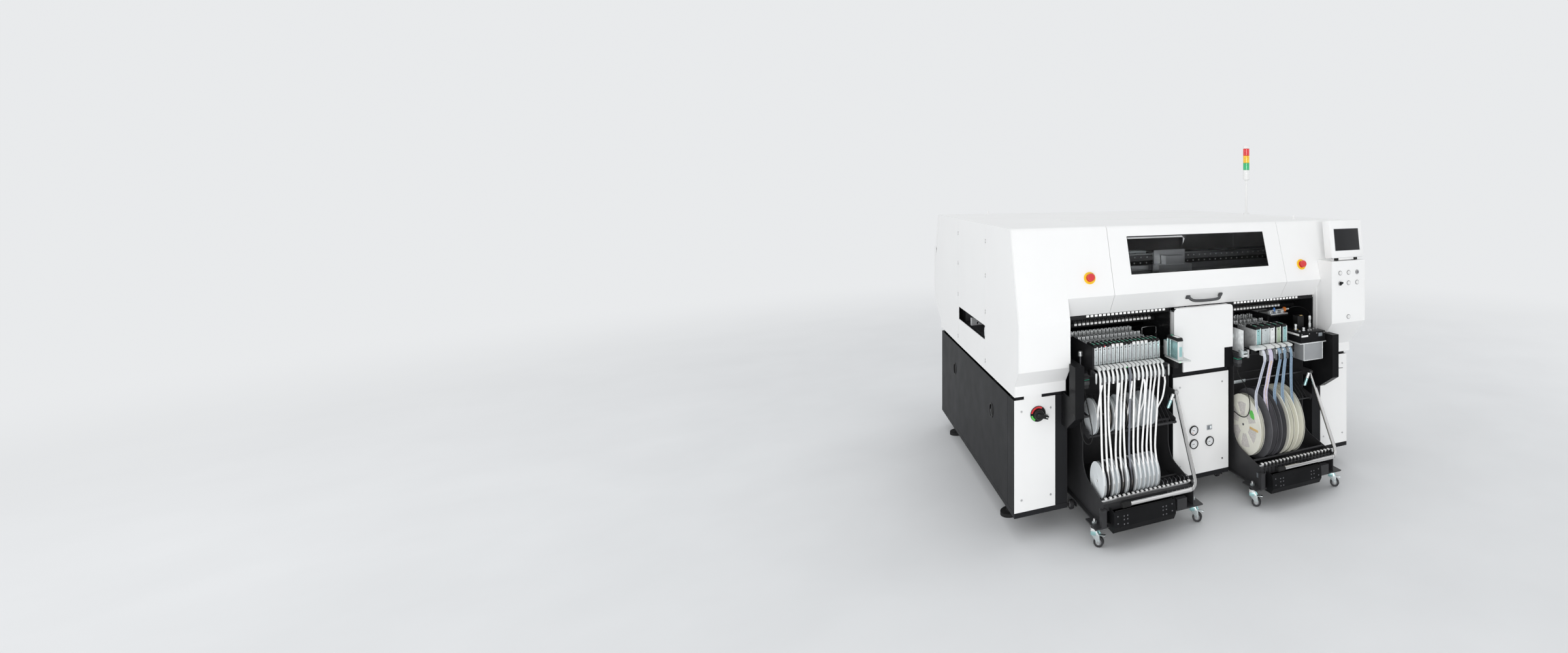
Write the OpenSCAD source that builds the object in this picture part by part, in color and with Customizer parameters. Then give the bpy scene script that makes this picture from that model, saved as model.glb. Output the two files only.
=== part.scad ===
// Pick and place machine for electronics assembly, with two docked feeder carts.
// X runs left to right as the operator sees it, Y from front to back and Z up from the floor.
// Sizes below are measured from the plane of the lower front panels (Y = 0), and the whole
// machine is then shifted so that its box is centred on the origin.

/* [Base] */
// Width of the dark base
base_w = 2100; // [2080:10:2120]
// Depth of the dark base
base_d = 1850; // [1820:10:1900]
// Gap between the floor and the base
base_z = 105; // [100:1:110]
// Height where the dark base ends
base_top = 674; // [668:1:678]
// Thickness of the plinth plate
plinth_t = 25; // [20:1:28]
// Depth of the bays that take the carts
bay_d = 420; // [400:5:460]
// Distance from the middle to the inner side of a bay
bay_in = 177; // [172:1:178]
// Distance from the middle to the outer side of a bay
bay_out = 780; // [776:1:790]
// Distance from the middle to the inner edge of the outer front panels
panel_in = 842; // [830:1:860]
// Diameter of a levelling foot
foot_d = 110; // [80:5:130]

/* [Hood] */
// Width of the white hood
hood_w = 2112; // [2108:2:2130]
// Height where the white hood begins
hood_z = 696; // [694:1:700]
// Height of the flat top
top_z = 1500; // [1495:1:1505]
// Rearmost point of the hood
rear_y = 2125; // [2100:5:2140]
// Thickness of the cover sheets
sheet = 3; // [2:0.5:4]
// Seam between neighbouring covers
seam = 2; // [1.5:0.5:3]
// Half width of the front door
door_half = 545; // [540:1:550]
// Distance from the front panels back to the hinge line of the door
door_rear = 750; // [740:5:760]
// Gap behind the door, over the gutter that holds its hinges
hinge_gap = 20; // [18:1:26]
// Half width of the window in the door
window_half = 438; // [420:1:445]
// Lower edge of the window
window_low = 1250; // [1240:1:1260]
// Upper edge of the window
window_high = 1445; // [1435:1:1450]
// Front end of the board slot in the side covers
slot_front = 560; // [555:1:570]
// Rear end of the board slot
slot_rear = 1250; // [1240:1:1254]
// Bottom of the board slot
slot_low = 860; // [855:1:865]
// Top of the board slot
slot_high = 939; // [935:1:945]

/* [Operator controls] */
// Front plane of the operator console, before the front panels
console_front = 150; // [140:1:160]
// Diameter of a push button cap
button_d = 18; // [16:0.5:18.5]
// Diameter of an emergency stop mushroom
estop_d = 38; // [34:1:40]
// Diameter of the yellow collar around it
collar_d = 62; // [58:1:66]
// Diameter of the main switch plate
switch_d = 76; // [70:1:80]
// Diameter of a pressure gauge
gauge_d = 52; // [48:1:54]
// Top of the signal tower
tower_top = 2014; // [1990:2:2030]
// Diameter of the signal tower lenses
tower_d = 49; // [44:1:52]

/* [Feeder carts] */
// Distance from the middle of the machine to the middle of a cart
cart_x = 455; // [452:1:458]
// Distance from the middle of a cart to its side plates
cart_half = 245; // [244:1:246]
// Distance between neighbouring feeder slots
slot_pitch = 23; // [22.5:0.1:23]
// Height of the table that carries the feeders
table_z = 778; // [776:1:780]
// Number of tape feeders on the left cart
feeder_count = 16; // [12:1:16]
// Diameter of the small reels
small_reel_d = 178; // [176:1:180]
// Diameter of the first large reel
large_reel_d = 330; // [326:1:330]
// Diameter of the other large reels
wide_reel_d = 380; // [374:1:380]
// Number of reels in the lower row
lower_reels = 13; // [8:1:13]
// Diameter of the pull handle tube
handle_d = 21; // [19:1:22]
// Diameter of a caster wheel
wheel_d = 50; // [48:1:52]

/* [Inside] */
// Height of the linear rails that carry the beam
rail_z = 1140; // [1130:1:1150]
// Front face of the beam
beam_y = 400; // [395:5:420]
// Height of the board transport
board_z = 900; // [895:1:905]

/* [Hidden] */
$fn = 48;

// Colours
white_paint = [0.93, 0.93, 0.92];
dark_paint = [0.11, 0.11, 0.12];
black_plastic = [0.06, 0.06, 0.06];
zinc = [0.68, 0.72, 0.72];
pale_zinc = [0.80, 0.80, 0.78];
cream = [0.88, 0.87, 0.80];
signal_red = [0.80, 0.06, 0.08];
signal_yellow = [0.95, 0.75, 0.05];

// Places worked out from the driving sizes
base_half = base_w / 2;
hood_half = hood_w / 2;
hood_in = hood_half - sheet;
front_reach = 330;
y_mid = (rear_y - front_reach) / 2;
block_in = 797;
mid_edge = door_half + seam;
top_front = 54;
top_joint = 90;
slant_low = [-56, 1155];
slant_angle = atan((top_front - slant_low[0]) / (top_z - slant_low[1]));
running_gap = 0.06;

// Outlines in the Y, Z plane, from the top down so that sheet thickness goes inwards
mid_path = concat([[top_joint, top_z]],
                  fillet([top_joint, top_z], [top_front, top_z], slant_low, 22),
                  [slant_low, [10, 1055], [40, 1055]]);
block_path = concat([[top_joint, top_z]],
                    fillet([top_joint, top_z], [top_front, top_z], [-88, 1051], 22),
                    [[-88, 1051], [-90, 827], [-21, 747], [-21, hood_z]]);
console_back = -19;
right_path = concat([[top_joint, top_z]],
                    fillet([top_joint, top_z], [top_front, top_z], [console_back, 1268], 22),
                    [[console_back, 1268], [console_back, hood_z]]);
door_path = concat([[door_rear, top_z]],
                   fillet([door_rear, top_z], [top_front, top_z], slant_low, 22),
                   [slant_low, [10, 1055], [34, 1055]]);
door_corners = [[door_rear, top_z], [top_front, top_z], slant_low, [10, 1055], [34, 1055]];
door_hinge = [door_rear + 4, top_z - 14];
console_path = [[console_back, 1268], [-console_front, 1268], [-console_front, 904], [console_back, 749]];
// Rear outlines run from the bottom up
rear_low_path = [[1860, hood_z], [1864, 751], [rear_y, 888], [rear_y, 1260], [rear_y - 74, 1260]];
rear_top_y = 1930;
rear_high_path = [[rear_y - 50, 1274], [1973, top_z], [rear_top_y, top_z]];
rear_return = 58;

// Feeder cart places, measured from the middle of the cart
first_slot = -212;
caster_at = [271, -222];
caster_trail = [16, -14];
rear_wheel_y = 190;
lower_reel_at = [-150, 276];
upper_reel_at = [-60, 562];
large_reel_at = [-75, 385];
large_reels = [[-228, 26], [-172, 40], [-106, 32], [-54, 34], [4, 46]];
wide_feeders = [[-142, 34], [-93, 54], [-47, 34], [-4, 33], [40, 33]];
wide_tapes = [[-149, 18], [-105, 27], [-43, 21], [-8, 22], [34, 19]];
lower_tape_slots = [0, 1, 2, 4, 5, 6, 7, 8, 10, 11, 12, 13, 14];
upper_tape_slots = [0, 4, 7, 10, 15];
upper_reel_slots = [0, 3, 4, 6, 7, 9, 10, 12, 14];
reel_pitch = 24;
small_reel_w = 14;
small_wound = 74;
large_wound = 130;
first_reel = -221;
chute_tip = [-166, 741];
tape_w = 9;
tape_gap = 3;
rack_low = [-72, 468];
rack_high = [120, 613];
pivot_at = [-50, 612];
handle_x = 264;
handle_low_x = 246;
handle_arm = 481;
handle_bend = 45;
handle_lean = 32;
handle_end = -166;
waste_x = [-215, 111];

// Cable routes, measured from the middle of their cart
cable_d = 5;
left_route = [[-250, -50, 705], [-250, -50, 685], [-249, -58, 655], [-247, -76, 615], [-244, -98, 570],
              [-241, -115, 525], [-240, -123, 490], [-244, -125, 464], [-252, -120, 449],
              [-263, -110, 447], [-273, -99, 458], [-280, -89, 480], [-284, -82, 508],
              [-286, -80, 535], [-286, -80, 560]];
right_route = [[-250, -50, 705], [-250, -50, 685], [-247, -58, 662], [-243, -78, 640], [-240, -104, 615],
               [-237, -128, 582], [-236, -144, 545], [-236, -149, 508], [-236, -142, 474],
               [-236, -124, 448], [-236, -98, 433], [-236, -66, 427], [-236, -32, 429],
               [-236, 5, 435], [-236, 28, 437], [-236, 50, 437]];

// Slanted front, operator console and switch places
estop_at = [672, 1246];
button_z = [1198, 1137];
button_x = [862, 927, 993];
single_at = [926, 937];
console_holes = concat([for (x = button_x, z = button_z) [x, z]], [single_at]);
button_hole = 9.6;
switch_at = [-933, 596];
gauges_at = [[-50, 372], [-50, 298], [51, 298]];
display_at = [51, 374];
tower_at = [1030, 1030];
panel_pivot = [-115, 1283];

// Small geometry helpers
function unit(v) = v / norm(v);
// Normal to the left of the step from a to b
function left_of(a, b) = let (d = unit(b - a)) [-d[1], d[0]];
// Point i of a path moved a distance t to its left, with mitred corners
function moved(path, i, t) =
    let (n = len(path),
         a = left_of(path[max(i - 1, 0)], path[max(i, 1)]),
         b = left_of(path[min(i, n - 2)], path[min(i + 1, n - 1)]))
    path[i] + t * (a + b) / (1 + a * b);
function moved_path(path, t) = [for (i = [0:len(path) - 1]) moved(path, i, t)];
function reversed(list) = [for (i = [len(list) - 1:-1:0]) list[i]];
function strip(path, t) = concat(path, reversed(moved_path(path, t)));
// Arc of radius r that rounds the corner b between a and c
function fillet(a, b, c, r, steps = 5) =
    let (u = unit(a - b), v = unit(c - b), half = acos(u * v) / 2,
         centre = b + unit(u + v) * r / sin(half),
         s = b + u * r / tan(half) - centre, e = b + v * r / tan(half) - centre,
         from = atan2(s[1], s[0]), turn = (atan2(e[1], e[0]) - from + 540) % 360 - 180)
    [for (k = [0:steps]) centre + r * [cos(from + turn * k / steps), sin(from + turn * k / steps)]];
// Depth of the slanted front plane at height z
function slant_y(z) = top_front + (z - top_z) * tan(slant_angle);
function slot_x(i) = first_slot + slot_pitch * i;
function lower_reel_x(i) = first_reel + reel_pitch * i;
function upper_reel_x(i) = first_reel + (reel_pitch - 1) * i;

module centred() translate([0, -y_mid, 0]) children();
module box(x, y, z) translate([x[0], y[0], z[0]]) cube([x[1] - x[0], y[1] - y[0], z[1] - z[0]]);
module yz(x, outline)
    rotate([90, 0, 90]) translate([0, 0, x[0]]) linear_extrude(x[1] - x[0]) polygon(outline);
module rod_x(x, y, z, r) translate([x[0], y, z]) rotate([0, 90, 0]) cylinder(h = x[1] - x[0], r = r);
module rod_y(x, y, z, r) translate([x, y[0], z]) rotate([-90, 0, 0]) cylinder(h = y[1] - y[0], r = r);
module rod_z(x, y, z, r) translate([x, y, z[0]]) cylinder(h = z[1] - z[0], r = r);
// Round bar between two points
module bar(p, q, r) {
    d = q - p;
    translate(p) rotate([0, acos(d[2] / norm(d)), atan2(d[1], d[0])]) cylinder(h = norm(d), r = r);
}
// Children placed on the slanted front with their outer side towards -Y
module on_slant(x, z) translate([x, slant_y(z), z]) rotate([-slant_angle, 0, 0]) children();
module mirrored_x() {
    children();
    mirror([1, 0, 0]) children();
}
// Flat strip of given width along a route, thickness in the Y, Z plane
module ribbon(route, width, thickness) {
    n = len(route);
    flat = [for (p = route) [p[1], p[2]]];
    inner = moved_path(flat, thickness);
    points = [for (i = [0:n - 1]) each [
        [route[i][0] - width / 2, flat[i][0], flat[i][1]], [route[i][0] + width / 2, flat[i][0], flat[i][1]],
        [route[i][0] + width / 2, inner[i][0], inner[i][1]],
        [route[i][0] - width / 2, inner[i][0], inner[i][1]]]];
    sides = [for (i = [0:n - 2]) for (k = [0:3])
        [4 * i + k, 4 * i + (k + 1) % 4, 4 * i + 4 + (k + 1) % 4, 4 * i + 4 + k]];
    last = 4 * (n - 1);
    polyhedron(points, concat([[3, 2, 1, 0]], sides, [[last, last + 1, last + 2, last + 3]]));
}
// Round cable along a route that never runs along X
module cable(route, d) {
    ring = 8;
    n = len(route);
    points = [for (i = [0:n - 1])
        let (t = unit(route[min(i + 1, n - 1)] - route[max(i - 1, 0)]),
             u = unit(cross(t, [1, 0, 0])), v = cross(t, u))
        for (k = [0:ring - 1]) route[i] + d / 2 * (cos(360 * k / ring) * u + sin(360 * k / ring) * v)];
    sides = [for (i = [0:n - 2]) for (k = [0:ring - 1])
        [ring * i + k, ring * i + (k + 1) % ring, ring * (i + 1) + (k + 1) % ring, ring * (i + 1) + k]];
    polyhedron(points, concat([[for (k = [ring - 1:-1:0]) k]], sides,
                              [[for (k = [0:ring - 1]) ring * (n - 1) + k]]));
}

// Base

module bay_cut(z) {
    box([bay_in, bay_out], [-20, bay_d], z);
    box([-bay_out, -bay_in], [-20, bay_d], z);
}

module base_frame() color(dark_paint) centred() {
    post = 60;
    wall = base_half - 3;
    difference() {
        box([-base_half, base_half], [0, base_d], [base_z, base_z + plinth_t]);
        bay_cut([base_z - 5, base_z + plinth_t + 5]);
        mirrored_x() box([140, wall - 120], [bay_d + 140, base_d - 140], [base_z - 5, base_z + plinth_t + 5]);
    }
    mirrored_x() {
        // Front and rear posts, and the dark face beside the outer white panel
        box([bay_out, panel_in], [3, post], [base_z + plinth_t, base_top]);
        box([wall - post, wall], [3, post], [base_z + plinth_t, base_top]);
        box([wall - post, wall], [base_d - 3 - post, base_d - 3], [base_z + plinth_t, base_top]);
        box([wall - post, wall], [bay_d - post, bay_d], [base_z + plinth_t, base_top]);
        // Bay walls
        box([bay_out, bay_out + 4], [post, bay_d], [base_z + plinth_t, base_top]);
        box([bay_in - 4, bay_in], [3, bay_d], [base_z + plinth_t, base_top]);
        box([bay_in - 4, bay_out + 4], [bay_d, bay_d + 4], [base_z + plinth_t, base_top]);
    }
    // Bed plate that carries the hood and the gantry, open over the bays
    difference() {
        box([14 - base_half, base_half - 14], [10, base_d - 10], [base_top, hood_z]);
        bay_cut([base_top - 5, hood_z + 5]);
        box([-540, 540], [bay_d + 250, base_d - 250], [base_top - 5, hood_z + 5]);
    }
}

module side_panels() color(dark_paint) centred() {
    z = [base_z + plinth_t + 1, base_top - 1];
    mirrored_x() {
        box([base_half - 3, base_half], [3.5, 118], z);
        difference() {
            box([base_half - 3, base_half], [121, base_d - 3.5], z);
            for (y = [440, 1396]) rod_x([base_half - 10, base_half + 5], y, 505, 34);
        }
    }
    // Rear panel with cooling louvres
    difference() {
        box([4 - base_half, base_half - 4], [base_d - 3, base_d], z);
        for (side = [-1, 1], row = [0:7]) translate([side * 520, base_d, 300 + 26 * row])
            box([-160, 160], [-10, 5], [0, 10]);
    }
}

module front_panels() color(white_paint) centred() {
    z = [base_z + plinth_t, base_top];
    tab = [-1002, -914];
    box([-base_half, -panel_in - 2], [0, 3], z);
    box(tab, [0, 3], [base_top - 1, hood_z - 1]);
    // Right panel with a narrow slit near its top corner
    difference() {
        box([panel_in, base_half], [0, 3], z);
        box([973, 1022], [-1, 4], [586, 590]);
    }
    box([-bay_in, bay_in], [0, 3], z);
    // Centre cover over the column between the bays, with notched lower corners
    half = 187;
    notch = [131, 813];
    cover_z = [706, 1051];
    corner = 20;
    outline = concat([[-notch[0], cover_z[0]], [-notch[0], notch[1]], [-half, notch[1]]],
                     fillet([-half, notch[1]], [-half, cover_z[1]], [half, cover_z[1]], corner),
                     fillet([-half, cover_z[1]], [half, cover_z[1]], [half, notch[1]], corner),
                     [[half, notch[1]], [notch[0], notch[1]], [notch[0], cover_z[0]]]);
    translate([0, -27, 0]) rotate([90, 0, 0]) linear_extrude(sheet) polygon(outline);
    mirrored_x() {
        box([notch[0] - sheet, notch[0]], [-27.5, 30], [cover_z[0], notch[1] + 10]);
        box([half - sheet - 5, half - 5], [-27.5, 30], [notch[1], cover_z[1] - corner]);
    }
    box([corner - half, half - corner], [-27.5, 8], [cover_z[1] - sheet - 1, cover_z[1] - 1]);
}

module levelling_feet() color(black_plastic) centred()
    for (x = [65 - base_half, 0, base_half - 65], y = [290, 1612]) {
        rod_z(x, y, [0, 18], foot_d / 2);
        rod_z(x, y, [18, 34], 26);
        rod_z(x, y, [34, base_z], 13);
    }

// Hood

module side_cover_front(x, path) yz(x, concat(path, [[slot_front - 7 - seam / 2, hood_z],
                                                      [slot_front - 7 - seam / 2, top_z]]));

module side_covers() color(white_paint) centred() {
    side_cover_front([-hood_half, -hood_in], block_path);
    side_cover_front([hood_in, hood_half], right_path);
    inside_low = moved_path(rear_low_path, rear_return + seam);
    inside_high = moved_path(rear_high_path, rear_return + seam);
    mirrored_x() {
        difference() {
            box([hood_in, hood_half], [slot_front - 7 + seam / 2, slot_rear + 8 - seam / 2], [hood_z, top_z]);
            box([hood_in - 5, hood_half + 5], [slot_front, slot_rear], [slot_low, slot_high]);
        }
        yz([hood_in, hood_half], [[slot_rear + 8 + seam / 2, top_z], [slot_rear + 8 + seam / 2, hood_z],
                                  inside_low[0], inside_low[1], inside_low[2], inside_low[3],
                                  [inside_low[4][0] - seam, inside_low[4][1]], inside_high[0], inside_high[1],
                                  [rear_top_y - seam, inside_high[1][1]], [rear_top_y - seam, top_z]]);
    }
}

module corner_covers() color(white_paint) centred() {
    // Left block that stands forward, its inner cheek and the plain part beside the door
    block = concat(block_path, [[60, hood_z]]);
    yz([-hood_in + 0.5, -block_in], strip(block, sheet));
    yz([-block_in - sheet, -block_in], concat(block, [[60, top_z - sheet]]));
    estop_sheet(-1);
    // Right block is upright behind the console
    right = concat(right_path, [[60, hood_z]]);
    yz([block_in, hood_in - 0.5], strip(right, sheet));
    yz([block_in, block_in + sheet], concat(right, [[60, top_z - sheet]]));
    estop_sheet(1);
}

module estop_sheet(side) difference() {
    yz(side < 0 ? [-block_in - 1, -mid_edge] : [mid_edge, block_in + 1], strip(mid_path, sheet));
    on_slant(side * estop_at[0], estop_at[1]) rod_y(0, [-20, 20], 0, 11);
}

module top_cover() color(white_paint) centred() {
    ear_r = 9;
    edge = door_rear + hinge_gap;
    gutter_z = top_z - 38;
    difference() {
        box([-hood_in, hood_in], [top_joint + seam, rear_top_y - seam], [top_z - sheet, top_z]);
        box([-mid_edge, mid_edge], [0, edge], [top_z - 20, top_z + 5]);
    }
    // Gutter under the gap behind the door
    gutter = [[edge, top_z - 1], [edge, gutter_z], [door_rear - 20, gutter_z]];
    yz([-mid_edge, mid_edge], strip(gutter, -sheet));
    // Hinge pins with their ears
    for (x = [-400, 400]) {
        rod_x([x - 40, x + 40], door_hinge[0], door_hinge[1], 5);
        for (side = [-1, 1]) {
            at = x + side * 36;
            rod_x([at - 4, at + 4], door_hinge[0], door_hinge[1], ear_r);
            box([at - 4, at + 4], [door_hinge[0], edge + 1], [gutter_z - 1, door_hinge[1]]);
        }
    }
    // Locating pegs
    for (p = [[856, 273], [-707, 1900]]) {
        rod_z(p[0], p[1], [top_z, top_z + 4], 16);
        rod_z(p[0], p[1], [top_z + 4, top_z + 22], 9);
    }
}

module rear_cover() color(white_paint) centred() {
    for (path = [rear_low_path, rear_high_path]) {
        yz([-hood_in, hood_in], strip(path, sheet));
        mirrored_x() yz([hood_in, hood_half], strip(path, rear_return));
    }
}

module bay_guards() color(black_plastic) centred() {
    guard = [[-4, 850], [-193, 850], [-193, 604], [-75, 526], [-4, 526]];
    mirrored_x() {
        // Guard box beside each cart, open towards the back
        difference() {
            yz([766, 812], guard);
            yz([769, 809], [[5, 847], [-190, 847], [-190, 606], [-74, 529], [5, 529]]);
            box([block_in - 1, 820], [-112, 5], [hood_z - 6, 860]);
        }
        // Dark bracket in the notch of the centre cover
        box([134, 190], [-22, -19], [700, 811]);
        box([187, 190], [-22, 12], [700, 811]);
        // Upper bay walls, lower at the back where the nozzles pass, and the perforated header
        wall = [[12, hood_z], [330, hood_z], [330, 938], [232, 938], [232, 1040], [12, 1040]];
        yz([190, 193], wall);
        yz([791, 794], wall);
        header = [[14, 1050], [40, 1046], [215, 966], [225, 950]];
        yz([193, 791], strip(header, -2.5));
    }
}

// Inside

module gantry_bed() color(dark_paint) centred() {
    mirrored_x() {
        difference() {
            box([880, 1000], [150, 1780], [hood_z, rail_z]);
            box([870, 1010], [520, 1300], [830, 960]);
        }
        box([930, 950], [170, 1760], [rail_z, rail_z + 20]);
    }
    box([-880, 880], [1660, 1780], [hood_z, 960]);
    // Component camera with its ring light, between the feeders and the board
    for (x = [-300, 300]) {
        box([x - 60, x + 60], [425, 545], [hood_z, 820]);
        difference() {
            rod_z(x, 485, [820, 850], 48);
            rod_z(x, 485, [830, 851], 30);
        }
    }
}

module conveyor_rail(y, x) {
    box([-x, x], [y, y + 20], [slot_low + 5, board_z + 12]);
    box([-x, x], [y + 20, y + 24], [board_z - 12, board_z - 4]);
}

module conveyor_fixed_rail() color(zinc) centred() {
    difference() {
        conveyor_rail(620, 1040);
        for (x = [-1000:200:1000]) rod_y(x, [610, 650], slot_low + 18, 8);
    }
    mirrored_x() {
        box([570, 630], [615, 645], [hood_z, slot_low + 6]);
        box([570, 630], [1290, 1320], [hood_z, 830]);
        rod_y(600, [640, 1292], 780, 10);
    }
}

module conveyor_moving_rail() color(zinc) centred() {
    difference() {
        union() {
            translate([0, 1920, 0]) mirror([0, 1, 0]) conveyor_rail(940, 1040);
            mirrored_x() box([575, 625], [955, 985], [755, slot_low + 8]);
        }
        for (x = [-1000:200:1000]) rod_y(x, [950, 990], slot_low + 18, 8);
        mirrored_x() rod_y(600, [940, 1000], 780, 10 + running_gap);
    }
}

module x_beam() color([0.20, 0.20, 0.22]) centred() {
    difference() {
        box([-895, 895], [beam_y, beam_y + 120], [1175, 1310]);
        for (x = [-750:150:750]) box([x - 55, x + 55], [beam_y + 20, beam_y + 100], [1190, 1320]);
    }
    // Carriages on the linear rails
    mirrored_x() {
        box([885, 985], [beam_y - 20, beam_y + 140], [rail_z + 20.5, 1215]);
        for (x = [919, 951]) box([x, x + 10], [beam_y - 20, beam_y + 140], [rail_z + 4, rail_z + 21]);
    }
    // Linear guide of the head
    box([-860, 860], [beam_y - 14, beam_y], [1280, 1300]);
    box([-860, 860], [beam_y - 14, beam_y], [1190, 1210]);
}

nozzle_r = 6;
function nozzle_x(i) = 28 * (i - 3.5);

module placement_head() color([0.55, 0.57, 0.60]) centred() {
    box([-105, 105], [beam_y - 34, beam_y - 14.5], [1160, 1330]);
    difference() {
        box([-110, 110], [beam_y - 110, beam_y - 33], [1015, 1250]);
        for (i = [0:7]) rod_z(nozzle_x(i), beam_y - 72, [1010, 1040], nozzle_r + running_gap);
    }
    box([-60, 60], [beam_y - 100, beam_y - 40], [1250, 1300]);
}

module nozzle_row() color([0.75, 0.76, 0.78]) centred() {
    for (i = [0:7]) translate([nozzle_x(i), beam_y - 72, 0]) {
        rod_z(0, 0, [1000, 1039], nozzle_r);
        rod_z(0, 0, [985, 1001], 4);
        translate([0, 0, 975]) cylinder(h = 10.5, r1 = 1.5, r2 = 4);
    }
    box([-106, 106], [beam_y - 80, beam_y - 64], [1000, 1006]);
}

module control_unit() color([0.32, 0.33, 0.35]) centred() {
    floor_z = base_z + plinth_t + 6;
    wall = 3;
    difference() {
        box([-560, 560], [1150, 1700], [floor_z, 600]);
        box([wall - 560, 560 - wall], [1150 + wall, 1700 - wall], [floor_z, 600 - wall]);
        for (x = [-420:140:420]) box([x - 50, x + 50], [1690, 1710], [200, 520]);
    }
    box([-700, 700], [1120, 1730], [floor_z - 6, floor_z]);
}

// Front door

module front_door() color(white_paint) centred() {
    cheek = 34;
    z = (window_low + window_high) / 2;
    rise = (window_high - window_low) / 2 / cos(slant_angle);
    inner = moved_path(door_corners, cheek);
    difference() {
        yz([-door_half, door_half], strip(door_path, sheet));
        on_slant(0, z) box([-window_half, window_half], [-30, 30], [-rise, rise]);
    }
    // Side returns, which stop short of the hinge gutter
    mirrored_x() yz([door_half - sheet, door_half],
                    concat([[door_rear - 40, top_z - 1]], [for (i = [1:len(door_path) - 1]) door_path[i]],
                           [inner[4], inner[3], inner[2], inner[1], [door_rear - 40, top_z - cheek]]));
    // Hinge arms with bored knuckles
    for (x = [-400, 400]) difference() {
        union() {
            rod_x([x - 30, x + 30], door_hinge[0], door_hinge[1], 9);
            yz([x - 30, x + 30], [[door_hinge[0] - 60, top_z - 1], [door_rear - 1, top_z - 1], door_hinge,
                                  [door_hinge[0] - 3, door_hinge[1] - 8], [door_hinge[0] - 60, top_z - 10]]);
        }
        rod_x([x - 50, x + 50], door_hinge[0], door_hinge[1], 5 + running_gap);
    }
}

module door_window() color([0.10, 0.11, 0.12, 0.6]) centred() {
    z = (window_low + window_high) / 2;
    rise = (window_high - window_low) / 2 / cos(slant_angle) + 10;
    on_slant(0, z) box([-window_half - 12, window_half + 12], [sheet + 0.05, sheet + 5], [-rise, rise]);
}

// Bevel of the door under its break, with its outer side towards -Y
module on_bevel(x, z) {
    low = [10, 1055];
    tilt = atan((slant_low[0] - low[0]) / (slant_low[1] - low[1]));
    y = low[0] + (z - low[1]) * tan(tilt);
    translate([x, y, z]) rotate([-tilt, 0, 0]) children();
}

module door_handle() color(black_plastic) centred() on_bevel(0, 1112) {
    r = 7.5;
    reach = 34;
    half = 97;
    bend = 20;
    mirrored_x() {
        rod_y(half, [-6, 0], 0, 13);
        rod_y(half, [bend - reach, -5], 0, r);
        translate([half - bend, bend - reach, 0]) rotate([0, 0, -90])
            rotate_extrude(angle = 90) translate([bend, 0]) circle(r);
    }
    rod_x([bend - half, half - bend], -reach, 0, r);
}

// Operator controls

module operator_console() color(white_paint) centred() {
    x = [block_in + seam, hood_half];
    difference() {
        union() {
            yz(x, strip(console_path, sheet));
            yz([x[0], x[0] + sheet], console_path);
            yz([x[1] - sheet, x[1]], console_path);
        }
        for (at = console_holes) rod_y(at[0], [-console_front - 5, -console_front + 10], at[1], button_hole);
        // The console ends flush on the cover behind it
        box([x[0] - 1, x[1] + 1], [console_back, console_back + 20], [hood_z, top_z]);
    }
    // Tilt lugs of the touch panel
    for (at = [840, 1000]) difference() {
        union() {
            box([at - 9, at + 9], [panel_pivot[0] - 10, panel_pivot[0] + 10], [1267, panel_pivot[1]]);
            rod_x([at - 9, at + 9], panel_pivot[0], panel_pivot[1], 10);
        }
        rod_x([at - 10, at + 10], panel_pivot[0], panel_pivot[1], 4 + running_gap);
    }
}

module touch_panel() color(white_paint) centred() {
    x = [798, 1045];
    front = [[-155, 1287], [-127, top_z + 8]];
    back = moved_path(front, -66);
    difference() {
        union() {
            yz(x, [front[0], front[1], back[1], back[0]]);
            for (at = [840, 1000]) rod_x([at - 16, at + 16], panel_pivot[0], panel_pivot[1], 4);
        }
        // Recesses for the tilt lugs
        for (at = [840, 1000]) difference() {
            yz([at - 12, at + 12], [[-134, 1270], [-134, 1300], [-96, 1300], [-92, 1270]]);
            rod_x([at - 16, at + 16], panel_pivot[0], panel_pivot[1], 4);
        }
        // Screen recess
        tilt = atan((front[1][0] - front[0][0]) / (front[1][1] - front[0][1]));
        translate([921, front[0][0], front[0][1]]) rotate([-tilt, 0, 0]) box([-94, 94], [-5, 3], [43, 171]);
    }
}

module bezel(x, z, r_out, r_in, depth) difference() {
    rod_y(x, [-depth, 0], z, r_out);
    rod_y(x, [-depth - 1, 1], z, r_in);
}

module panel_fittings() color([0.75, 0.75, 0.75]) centred() {
    translate([0, -console_front, 0]) for (at = console_holes) bezel(at[0], at[1], 13.5, button_hole, 3);
    for (side = [-1, 1]) on_slant(side * estop_at[0], estop_at[1]) bezel(0, 0, collar_d / 2, 9, 5);
    bezel(switch_at[0], switch_at[1], switch_d / 2, 8.5, 9);
    for (at = gauges_at) {
        bezel(at[0], at[1], gauge_d / 2, gauge_d / 2 - 4, 9);
        rod_y(at[0], [-6, 0], at[1], gauge_d / 2 - 3);
    }
    box([display_at[0] - 19, display_at[0] + 19], [-4, 0], [display_at[1] - 14, display_at[1] + 14]);
}

module estop(side) color(signal_red) centred() on_slant(side * estop_at[0], estop_at[1]) {
    rod_y(0, [-20, 16], 0, 8.6);
    rod_y(0, [-28, -14], 0, estop_d / 2);
    translate([0, -28, 0]) rotate([90, 0, 0]) cylinder(h = 5, r1 = estop_d / 2, r2 = estop_d / 2 - 5);
}
module estop_left() estop(-1);
module estop_right() estop(1);

module main_switch_knob() color(black_plastic) centred() translate([switch_at[0], 0, switch_at[1]]) {
    rod_y(0, [-12, -0.5], 0, 8);
    rod_y(0, [-34, -10], 0, 24);
    rotate([0, 20, 0]) box([-14, 44], [-46, -12], [-9, 9]);
}

module selector_knob() color(black_plastic) centred() translate([button_x[0], -console_front, button_z[1]]) {
    rod_y(0, [-6, 12], 0, button_d / 2);
    rotate([0, -35, 0]) box([-10, 10], [-18, -5], [-3.5, 3.5]);
}

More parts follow.
